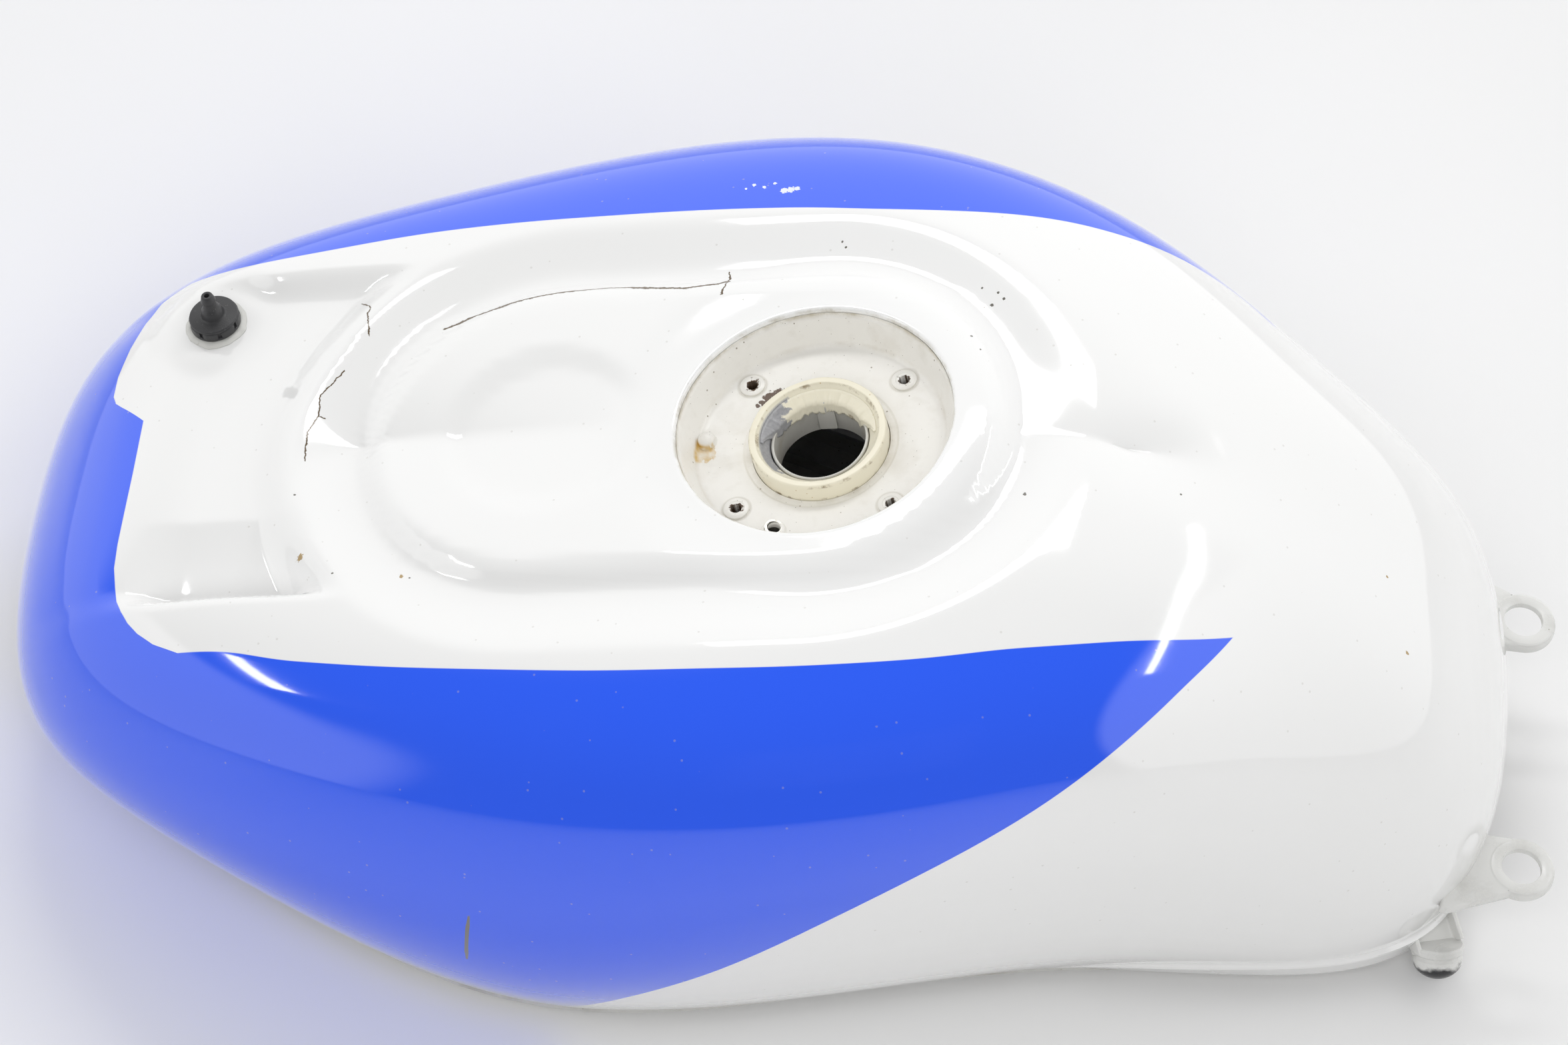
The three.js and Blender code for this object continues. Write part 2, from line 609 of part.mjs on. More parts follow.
function baffle(x) {
  const at = x * SCALE[0] + CENTRE_X;
  const half = BAFFLE_T / 2;
  const hole = rod(BAFFLE_HOLE_R, -20, 20, 20).rotateY(quarter).translate(at, 0, HEM_Z + BAFFLE_HOLE_Z);
  const holes = [-1, 0, 1].map((side) => hole.clone().translate(0, side * BAFFLE_HOLE_PITCH, 0));
  return solid(block(at - half, at + half, -BODY_WIDTH, BODY_WIDTH, HEM_Z + 7, HEM_Z + 2 * BODY_HEIGHT))
    .intersect(solid(filled(-SHELL_T - 0.4, 0)))
    .subtract(solid(tunnelBar(0.4)))
    .subtract(join(...holes));
}

// ---------------------------------------------------------------- the part
const PAINT = { color: 0xf4f4f2, metalness: 0, roughness: 0.25 };
const NECK_PAINT = { color: 0xe9e2c8, metalness: 0, roughness: 0.45 };
const PRIMER = { color: 0xd9d6cc, metalness: 0.1, roughness: 0.6 };
const ZINC = { color: 0xa9a9a4, metalness: 0.9, roughness: 0.4 };
const SLEEVE = { color: 0x8d8a80, metalness: 0.6, roughness: 0.5 };
const SEALER = { color: 0xcfcfc8, metalness: 0, roughness: 0.7 };
const BLACK = { color: 0x1c1c1d, metalness: 0, roughness: 0.6 };
const STEEL = { color: 0xb8b8bc, metalness: 1, roughness: 0.2 };

function add(name, result, look, frame = part) {
  const node = new THREE.Mesh(geometryOf(result), new THREE.MeshStandardMaterial(look));
  node.name = name;
  frame.add(node);
  return node;
}

// The right-hand copy of a left-hand fitting.
function addPair(name, build, look) {
  add(name + "_left", build(), look);
  add(name + "_right", build(), look).scale.y = -1;
}

add("outer_shell", outerShell(), PAINT);
add("floor_pan", floorPan(), PRIMER);
add("filler_cup", fillerCup(), PAINT, fillerFrame);
add("filler_neck", fillerNeck(), NECK_PAINT, fillerFrame);
add("neck_sleeve", neckSleeve(), SLEEVE, fillerFrame);
for (const [where, at] of Object.entries(SCREWS)) {
  add("cap_screw_boss_" + where, screwBoss(at), PAINT, fillerFrame);
}
add("locating_dowel", locatingDowel(), PAINT, fillerFrame);
add("drain_tube", drainTube(), ZINC);
add("vent_boss", ventBoss(), ZINC, ventFrame);
add("vent_seal", ventSeal(), SEALER, ventFrame);
add("vent_cap", ventCap(), BLACK, ventFrame);
add("vent_ball", ventBall(), STEEL, ventFrame);
add("vent_pipe", ventPipe(), ZINC, ventFrame);
addPair("rear_ear", rearEar, PAINT);
addPair("side_stay", sideStay, PAINT);
addPair("front_mount", frontMount, PRIMER);
add("tap_flange", tapFlange(), ZINC);
add("baffle_front", baffle(BAFFLES_X[0]), ZINC);
add("baffle_rear", baffle(BAFFLES_X[1]), ZINC);

export default part;
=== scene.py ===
"""A motorcycle fuel tank: fine skin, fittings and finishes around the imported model.

Lengths are in metres in the part's frame: +X forward, +Y to the rider's left, +Z up.
"""
import json
import logging
import math
from dataclasses import dataclass, field
from enum import Enum
from typing import Callable, Optional, Sequence, Union

import bmesh
import bpy
import numpy as np
from mathutils import Matrix, Vector

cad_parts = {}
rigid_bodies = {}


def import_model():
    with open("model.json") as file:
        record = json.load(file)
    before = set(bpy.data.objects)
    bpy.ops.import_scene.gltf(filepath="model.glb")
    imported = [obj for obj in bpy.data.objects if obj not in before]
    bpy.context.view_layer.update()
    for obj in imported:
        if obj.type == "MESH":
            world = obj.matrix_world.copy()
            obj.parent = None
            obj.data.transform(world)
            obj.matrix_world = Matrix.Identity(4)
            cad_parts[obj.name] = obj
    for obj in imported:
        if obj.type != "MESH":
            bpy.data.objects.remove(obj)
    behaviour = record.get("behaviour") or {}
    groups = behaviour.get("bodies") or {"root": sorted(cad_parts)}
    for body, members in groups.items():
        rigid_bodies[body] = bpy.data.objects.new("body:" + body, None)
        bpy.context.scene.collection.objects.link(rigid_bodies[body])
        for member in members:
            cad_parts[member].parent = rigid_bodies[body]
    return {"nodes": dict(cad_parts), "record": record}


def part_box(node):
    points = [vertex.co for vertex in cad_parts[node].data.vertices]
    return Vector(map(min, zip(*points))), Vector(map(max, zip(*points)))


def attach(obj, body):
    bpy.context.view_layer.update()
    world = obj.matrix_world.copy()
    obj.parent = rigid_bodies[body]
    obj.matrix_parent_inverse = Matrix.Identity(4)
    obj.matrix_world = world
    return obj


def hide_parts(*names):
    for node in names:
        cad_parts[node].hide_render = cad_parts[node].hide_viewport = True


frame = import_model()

log = logging.getLogger("fuel_tank")
MM = 0.001
Point = Sequence[float]
Socket = bpy.types.NodeSocket
Feed = Union[float, Sequence[float], Socket]


class Slot(Enum):
    """The record's material slots, by name."""

    PAINT = "tank_paint"
    PRIMER = "primer"
    NECK = "neck_paint"
    SLEEVE = "sleeve_metal"
    ZINC = "zinc_steel"
    SEALER = "sealer"
    PLASTIC = "black_plastic"
    STEEL = "bright_steel"


class Body(Enum):
    """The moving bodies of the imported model."""

    TANK = "tank"
    VENT_CAP = "vent_cap"
    VENT_BALL = "vent_ball"


# ---- numbers and frames
def clamp01(value: np.ndarray) -> np.ndarray:
    """Limits values to the range from 0 to 1."""
    return np.clip(value, 0.0, 1.0)


def after(edge: float, run: float, value: np.ndarray) -> np.ndarray:
    """A smooth step that starts at an edge and is complete one run later."""
    t = clamp01((value - edge) / run)
    return t * t * (3 - 2 * t)


def ramp(edge: float, run: float, value: np.ndarray, soft: float = 0.3) -> np.ndarray:
    """A straight slope with rounded ends.

    Args:
        edge: Where the slope starts.
        run: How long it is.
        value: Where to work it out.
        soft: Share of the slope that each rounded end takes.

    Returns:
        Values from 0 before the slope to 1 after it.
    """
    t = clamp01((value - edge) / run)
    low = t * t / (2 * soft * (1 - soft))
    high = 1 - (1 - t) ** 2 / (2 * soft * (1 - soft))
    middle = (t - soft / 2) / (1 - soft)
    return np.where(t < soft, low, np.where(t > 1 - soft, high, middle))


@dataclass(frozen=True)
class Seat:
    """A working frame that stands on the tank and leans forward.

    Attributes:
        origin: Its middle, in metres.
        lean: Forward lean about Y, in degrees.
    """

    origin: tuple[float, float, float]
    lean: float = 0.0

    @property
    def matrix(self) -> Matrix:
        """The seat's place as a matrix."""
        return Matrix.Translation(self.origin) @ Matrix.Rotation(math.radians(self.lean), 4, "Y")

    def out(self, points: np.ndarray) -> np.ndarray:
        """Moves points from the seat's frame to the part's frame."""
        m = np.array(self.matrix)
        return points @ m[:3, :3].T + m[:3, 3]

    def into(self, points: np.ndarray) -> np.ndarray:
        """Moves points from the part's frame to the seat's frame."""
        m = np.array(self.matrix)
        return (points - m[:3, 3]) @ m[:3, :3]


def filler_seat() -> Seat:
    """The filler's frame, found from the mount on its gasket ring.

    Returns:
        The seat, with its middle in the plane of the recess's rim.
    """
    ring_depth = 8 * MM
    mount = next(m for m in frame["record"]["mounts"] if m["name"] == "cap_gasket_seat")
    axis = Vector(mount["axis"]).normalized()
    middle = Vector(mount["pos_m"]) + axis * ring_depth
    return Seat((middle.x, 0.0, middle.z), math.degrees(math.atan2(axis.x, axis.z)))


def vent_seat() -> Seat:
    """The vent's frame, found from the joint that its cap turns on.

    Returns:
        The seat, with its middle where the cap turns.
    """
    joint = next(j for j in frame["record"]["behaviour"]["joints"] if j["name"] == "vent_cap_turn")
    axis = Vector(joint["axis"])
    return Seat(tuple(joint["pos_m"]), math.degrees(math.atan2(axis.x, axis.z)))


FILLER = filler_seat()
VENT = vent_seat()
HEM_Z = 14 * MM
CUP_FLOOR = -18.2
NECK_TOP = -9.2
NECK_R = 30.0
THROAT_R = 26.4
DRAIN_AT = (16.2, 46.0)
DRAIN_R = 3.4
SCREW_CIRCLE = 47.38


# ---- mesh helpers
@dataclass
class Soup:
    """Vertices and faces gathered for one mesh."""

    points: list = field(default_factory=list)
    faces: list = field(default_factory=list)

    def add(self, points: np.ndarray, faces: Sequence[Sequence[int]], flip: bool = False) -> None:
        """Adds a shape.

        Args:
            points: Its vertices.
            faces: Its faces, as lists of vertex numbers.
            flip: Turns the faces round.
        """
        first = len(self.points)
        self.points.extend(map(tuple, points))
        for face in faces:
            ring = [first + k for k in face]
            self.faces.append(ring[::-1] if flip else ring)

    @classmethod
    def of(cls, points: np.ndarray, faces: Sequence[Sequence[int]], flip: bool = False) -> "Soup":
        """Starts from one shape.

        Args:
            points: Its vertices.
            faces: Its faces.
            flip: Turns the faces round.

        Returns:
            The gathered shape.
        """
        soup = cls()
        soup.add(points, faces, flip)
        return soup

    def mirrored(self) -> "Soup":
        """The same shape on the other side of the tank."""
        return Soup([(x, -y, z) for x, y, z in self.points], [f[::-1] for f in self.faces])


def bare_object(name: str, soup: Soup) -> bpy.types.Object:
    """Makes an object that isn't registered yet.

    Args:
        name: Its name.
        soup: Its shape.

    Returns:
        The object.
    """
    mesh = bpy.data.meshes.new(name)
    mesh.from_pydata(soup.points, [], soup.faces)
    mesh.validate()
    piece = bpy.data.objects.new(name, mesh)
    bpy.context.scene.collection.objects.link(piece)
    return piece


def dress_piece(
    piece: bpy.types.Object,
    material: bpy.types.Material,
    replaces: Sequence[str] = (),
    body: Body = Body.TANK,
    crease: float = 35.0,
) -> bpy.types.Object:
    """Shades, dresses and registers a piece.

    Args:
        piece: A mesh object.
        material: Its material.
        replaces: CAD nodes that it stands for.
        body: The body that it rides on.
        crease: Angle in degrees past which an edge is sharp.

    Returns:
        The same object.
    """
    mesh = piece.data
    mesh.materials.clear()
    mesh.materials.append(material)
    mesh.polygons.foreach_set("use_smooth", [True] * len(mesh.polygons))
    mesh.set_sharp_from_angle(angle=math.radians(crease))
    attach(piece, body.value)
    if replaces:
        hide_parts(*replaces)
    log.info("%s: %d faces on %s", piece.name, len(mesh.polygons), body.value)
    return piece


def fillet(corners: Sequence[Sequence[float]], closed: bool = True, steps: int = 4) -> list:
    """Rounds the corners of an outline.

    Args:
        corners: Points (a, b) or (a, b, radius) in millimetres.
        closed: Whether the last point runs on to the first.
        steps: Points along each rounded corner.

    Returns:
        The outline's points.
    """
    out = []
    n = len(corners)
    for i, corner in enumerate(corners):
        here = np.array(corner[:2], float)
        size = corner[2] if len(corner) > 2 else 0.0
        if size == 0 or (not closed and i in (0, n - 1)):
            out.append(tuple(here))
            continue
        back = np.array(corners[i - 1][:2], float) - here
        on = np.array(corners[(i + 1) % n][:2], float) - here
        reach = min(size, 0.45 * np.linalg.norm(back), 0.45 * np.linalg.norm(on))
        start = here + back / np.linalg.norm(back) * reach
        end = here + on / np.linalg.norm(on) * reach
        for t in np.linspace(0, 1, steps):
            out.append(tuple((1 - t) ** 2 * start + 2 * t * (1 - t) * here + t * t * end))
    return out


def lathe(
    profile: Sequence[Point],
    segments: int,
    seat: Optional[Seat] = None,
    wobble: Optional[Callable[[np.ndarray, np.ndarray, np.ndarray], np.ndarray]] = None,
) -> tuple[np.ndarray, list]:
    """Turns a profile about the seat's axis.

    Args:
        profile: Points (radius, height) in millimetres, closed on itself unless it starts and
            ends on the axis. It runs with the solid on its left as seen with +Z up and R right.
        segments: Steps round the axis.
        seat: The frame that it stands in.
        wobble: Moves points, given as angle, radius and height, to new (radius, height) rows.

    Returns:
        Points in metres and faces.
    """
    n = len(profile)
    r = np.array([p[0] for p in profile])
    z = np.array([p[1] for p in profile])
    closed = r[0] > 1e-9
    angle = np.arange(segments) * 2 * math.pi / segments
    a, rr = np.meshgrid(angle, r, indexing="ij")
    zz = np.broadcast_to(z, rr.shape).copy()
    if wobble is not None:
        rr, zz = wobble(a, rr, zz)
    points = np.stack([rr * np.cos(a), rr * np.sin(a), zz], -1).reshape(-1, 3) * MM
    index = np.arange(segments * n).reshape(segments, n)
    if not closed:
        index[:, 0] = index[0, 0]
        index[:, -1] = index[0, -1]
    faces = []
    for i in range(segments):
        k = (i + 1) % segments
        for j in range(n if closed else n - 1):
            m = (j + 1) % n
            ring = [index[i, j], index[k, j], index[k, m], index[i, m]]
            faces.append(list(dict.fromkeys(int(v) for v in ring)))
    used = sorted({v for f in faces for v in f})
    renumber = {v: i for i, v in enumerate(used)}
    points = points[used]
    faces = [[renumber[v] for v in f] for f in faces]
    return (seat.out(points) if seat else points), faces


def bar_faces(stations: int, corners: int) -> list:
    """The faces of a bar whose vertices stand in equal sections along it.

    Args:
        stations: How many sections it has.
        corners: How many vertices each section has.

    Returns:
        The faces of its sides and its two ends.
    """
    faces = []
    for i in range(stations - 1):
        for j in range(corners):
            a, b = i * corners + j, i * corners + (j + 1) % corners
            faces.append([a, b, b + corners, a + corners])
    faces.append(list(range(corners))[::-1])
    faces.append(list(range((stations - 1) * corners, stations * corners)))
    return faces


def cut(piece: bpy.types.Object, *cutters: Soup) -> None:
    """Cuts closed shapes out of a mesh object and keeps the result as its plain mesh.

    Args:
        piece: The object that is cut.
        cutters: The shapes that are taken away.
    """
    for soup in cutters:
        tool = bare_object("cutter", soup)
        modifier = piece.modifiers.new("cut", "BOOLEAN")
        modifier.operation = "DIFFERENCE"
        modifier.solver = "EXACT"
        modifier.object = tool
        dg = bpy.context.evaluated_depsgraph_get()
        result = bpy.data.meshes.new_from_object(piece.evaluated_get(dg))
        piece.modifiers.remove(modifier)
        piece.data = result
        bpy.data.objects.remove(tool)


def rod_soup(radius: float, z0: float, z1: float, seat: Seat, at: Point, segments: int = 48) -> Soup:
    """A closed cylinder for cutting, with its sizes in millimetres.

    Args:
        radius: Its radius.
        z0: Its foot.
        z1: Its top.
        seat: The frame that it stands in.
        at: Its middle in that frame.
        segments: Steps round it.

    Returns:
        The shape.
    """
    points, faces = lathe([(0, z0), (radius, z0), (radius, z1), (0, z1)], segments)
    return Soup.of(seat.out(points + np.array([*at, 0]) * MM), faces)


# ---- the pressed surface
Column = tuple[Point, Point, Point, Point, Point, Point]


@dataclass(frozen=True)
class Land:
    """The racetrack land, its dish and the flat seat of the recess, in millimetres."""

    margin: float = 14.0
    length: float = 110.0
    step: float = 6.0
    wall: float = 10.0
    fade: float = 35.0
    recess: float = 60.0
    edge: float = 4.0
    edge_fade: float = 30.0
    dish_r: float = 43.0
    dish_x: float = 114.0
    dish_drop: float = 1.8
    dish_wall: float = 6.0


@dataclass(frozen=True)
class Shelf:
    """The lowered shelf behind the nose and its left-hand pocket, in millimetres."""

    drop: float = 9.0
    wall_x: float = 219.0
    bow: float = 20.0
    bow_half: float = 66.0
    wall_run: float = 24.0
    front_x: float = 262.0
    front_run: float = 44.0
    front_fade: float = 0.8
    side_y: float = 84.0
    left_side_y: float = 74.0
    side_run: float = 14.0
    pocket_drop: float = 9.0
    crease_y: float = 40.0
    slope_run: float = 33.0
    rim_run: float = 12.0
    pocket_front: float = 262.0
    pocket_front_run: float = 26.0


@dataclass(frozen=True)
class Lip:
    """The joggled lip along the hem at the tail, in millimetres."""

    height: float = 16.0
    crease: float = 2.2
    out: float = 2.6
    front_x: float = -120.0
    front_run: float = 80.0


@dataclass
class PressedSurface:
    """The tank's outer surface: a bicubic B-spline over a cage of control points, with its reliefs.

    The cage's rows run from the spine outward and down to the hem, and its columns from the nose
    round the left side to the tail, in millimetres above the hem.
    """

    cage: tuple[Column, ...] = (
        ((190, 0, 166), (266, 0, 148), (330, 0, 118), (350, 0, 62), (336, 0, 24), (312, 0, 0)),
        ((185, 0, 167), (262, 54, 149), (326, 74, 120), (346, 86, 62), (332, 82, 24), (306, 72, 0)),
        ((165, 0, 172), (226, 90, 158), (276, 124, 136), (300, 142, 72), (284, 120, 26), (262, 98, 0)),
        ((120, 0, 184), (152, 110, 176), (180, 156, 160), (192, 184, 84), (190, 172, 30), (182, 154, 0)),
        ((60, 0, 200), (66, 118, 202), (74, 188, 190), (78, 214, 96), (80, 204, 34), (80, 186, 0)),
        ((-5, 0, 217), (-20, 122, 226), (-32, 196, 216), (-38, 204, 102), (-34, 180, 36), (-30, 154, 0)),
        ((-65, 0, 228), (-106, 104, 240), (-144, 160, 212), (-154, 158, 100), (-152, 138, 36),
         (-148, 116, 0)),
        ((-110, 0, 232), (-172, 70, 224), (-234, 106, 170), (-252, 124, 88), (-256, 124, 36), (-256, 114, 0)),
        ((-130, 0, 230), (-210, 40, 210), (-292, 68, 154), (-324, 86, 78), (-324, 88, 32), (-316, 84, 0)),
        ((-136, 0, 229), (-216, 0, 206), (-298, 0, 150), (-334, 0, 76), (-334, 0, 30), (-324, 0, 0)),
    )
    land: Land = Land()
    shelf: Shelf = Shelf()
    lip: Lip = Lip()
    relief_fade: float = 2.1
    relief_foot: float = 2.6
    vent_seat_r: float = 19.0
    vent_seat_fade: float = 13.0

    def __post_init__(self) -> None:
        """Works out the whole net of control points from the left-hand columns."""
        half = np.array(self.cage, float).transpose(1, 0, 2)
        right = half[:, -2:0:-1] * np.array([1, -1, 1])
        full = np.concatenate([half, right], 1)
        first = np.stack([2 * full[0, :, 0] - full[1, :, 0], -full[1, :, 1], full[1, :, 2]], -1)
        last = 2 * full[-1] - full[-2]
        self.net = np.concatenate([first[None], full, last[None]])
        self.columns = full.shape[1]
        self.rows = full.shape[0]

    @staticmethod
    def _basis(t: np.ndarray) -> np.ndarray:
        """The four uniform cubic B-spline weights."""
        return np.stack([
            (1 - t) ** 3 / 6, (3 * t**3 - 6 * t**2 + 4) / 6, (-3 * t**3 + 3 * t**2 + 3 * t + 1) / 6, t**3 / 6,
        ])

    def plain(self, u: np.ndarray, v: np.ndarray) -> np.ndarray:
        """Points of the surface without its reliefs.

        Args:
            u: Cage columns, from 0 at the nose round to the number of columns.
            v: Cage rows, from 0 on the spine.

        Returns:
            Points in millimetres, with z from the hem and x from the filler.
        """
        i = np.floor(u).astype(int)
        j = np.minimum(np.floor(v).astype(int), self.rows - 2)
        bu, bv = self._basis(u - i), self._basis(v - j)
        out = np.zeros(u.shape + (3,))
        for a in range(4):
            for b in range(4):
                weight = (bv[a] * bu[b])[..., None]
                out += weight * self.net[j + a, (i - 1 + b) % self.columns]
        return out

    def _relief(self, p: np.ndarray) -> np.ndarray:
        """Height that the pressed reliefs add at points in millimetres.

        Args:
            p: The points.

        Returns:
            The height at each, in millimetres.
        """
        land, shelf = self.land, self.shelf
        x, y, z = p[..., 0], p[..., 1], p[..., 2]
        side = np.abs(y)
        outside = np.hypot(x - np.clip(x, 0, land.length), y) - land.recess - land.margin
        h = -land.step * ramp(0, land.wall, outside) * (1 - after(land.wall + 1, land.fade, outside))
        dish = np.hypot(x - land.dish_x, y)
        h -= land.dish_drop * (1 - ramp(land.dish_r - land.dish_wall, land.dish_wall, dish))
        wall_x = shelf.wall_x - shelf.bow * (y / shelf.bow_half) ** 2
        drop = ramp(0, shelf.wall_run, x - wall_x, 0.4)
        front = 1 - shelf.front_fade * after(shelf.front_x, shelf.front_run, x)
        edge = np.where(y > 0, shelf.left_side_y, shelf.side_y)
        sides = 1 - after(0, shelf.side_run, side - edge)
        h = h * (1 - drop) - shelf.drop * drop * front * sides
        rim = 1 - after(shelf.left_side_y, shelf.rim_run, y)
        pocket = clamp01((y - shelf.crease_y) / shelf.slope_run) * rim
        h -= shelf.pocket_drop * drop * pocket * (1 - after(shelf.pocket_front, shelf.pocket_front_run, x))
        reach = np.hypot(x / math.cos(math.radians(FILLER.lean)), y)
        h = self._flatten(h, x, z, FILLER, reach, land.recess + land.edge, land.edge_fade)
        vent = self._local(VENT.origin)
        reach = np.hypot(x - vent[0], y - vent[1])
        return self._flatten(h, x, z, VENT, reach, self.vent_seat_r, self.vent_seat_fade)

    @staticmethod
    def _local(origin: Point) -> np.ndarray:
        """A seat's origin in the cage's own millimetres."""
        return (np.array(origin) - np.array([FILLER.origin[0], 0, HEM_Z])) / MM

    def _flatten(
        self,
        h: np.ndarray,
        x: np.ndarray,
        z: np.ndarray,
        seat: Seat,
        reach: np.ndarray,
        edge: float,
        fade: float,
    ) -> np.ndarray:
        """Blends a relief into a seat's tilted plane.

        Args:
            h: Relief so far.
            x: Positions along the tank.
            z: Heights of the plain surface.
            seat: The seat whose plane it is.
            reach: Distance from the seat's middle.
            edge: How far the plane is flat.
            fade: How far it takes to fade out.

        Returns:
            The new relief.
        """
        middle = self._local(seat.origin)
        flat = 1 - after(edge, fade, reach)
        plane = middle[2] - math.tan(math.radians(seat.lean)) * (x - middle[0]) - z
        return h * (1 - flat) + plane * flat

    def points(self, u: np.ndarray, v: np.ndarray) -> np.ndarray:
        """Points of the finished surface.

        Args:
            u: Cage columns.
            v: Cage rows.

        Returns:
            Points in metres in the part's frame.
        """
        p = self.plain(u, v)
        fade = 1 - after(self.relief_fade, self.relief_foot - self.relief_fade, v)
        p[..., 2] += self._relief(p) * fade
        lip = self.lip
        low = 1 - ramp(lip.height - lip.crease, lip.crease, p[..., 2])
        rear = after(-lip.front_x, lip.front_run, -p[..., 0])
        outward = p[..., :2] - np.array([lip.front_x, 0.0])
        outward /= np.maximum(np.linalg.norm(outward, axis=-1, keepdims=True), 1e-6)
        p[..., :2] += outward * (lip.out * low * rear)[..., None]
        return p * MM + np.array([FILLER.origin[0], 0, HEM_Z])


# ---- skin
def clipped(
    points: np.ndarray, faces: list, keep: Callable[[np.ndarray], np.ndarray]
) -> tuple[np.ndarray, list]:
    """Trims a mesh along the line where a function changes sign.

    Args:
        points: Vertices.
        faces: Faces as vertex lists.
        keep: Gives a value for each point, and the part above 0 is kept.

    Returns:
        The trimmed vertices and faces.
    """
    value = keep(points)
    extra: dict = {}
    made = list(map(tuple, points))

    def crossing(a: int, b: int) -> int:
        """The vertex where an edge meets the trim line.

        Args:
            a: The vertex at one end.
            b: The vertex at the other.

        Returns:
            The new vertex's number.
        """
        key = (min(a, b), max(a, b))
        if key not in extra:
            low, high = points[a], points[b]
            start = value[a]
            for _ in range(18):
                middle = (low + high) / 2
                if (keep(middle[None])[0] > 0) == (start > 0):
                    low = middle
                else:
                    high = middle
            extra[key] = len(made)
            made.append(tuple((low + high) / 2))
        return extra[key]

    out = []
    for face in faces:
        signs = [value[k] > 0 for k in face]
        if all(signs):
            out.append(face)
        elif any(signs):
            ring = []
            for i, k in enumerate(face):
                m = face[(i + 1) % len(face)]
                if value[k] > 0:
                    ring.append(k)
                if (value[k] > 0) != (value[m] > 0):
                    ring.append(crossing(k, m))
            out.append(ring)
    used = sorted({k for f in out for k in f})
    renumber = {k: i for i, k in enumerate(used)}
    return np.array(made)[used], [[renumber[k] for k in f] for f in out]


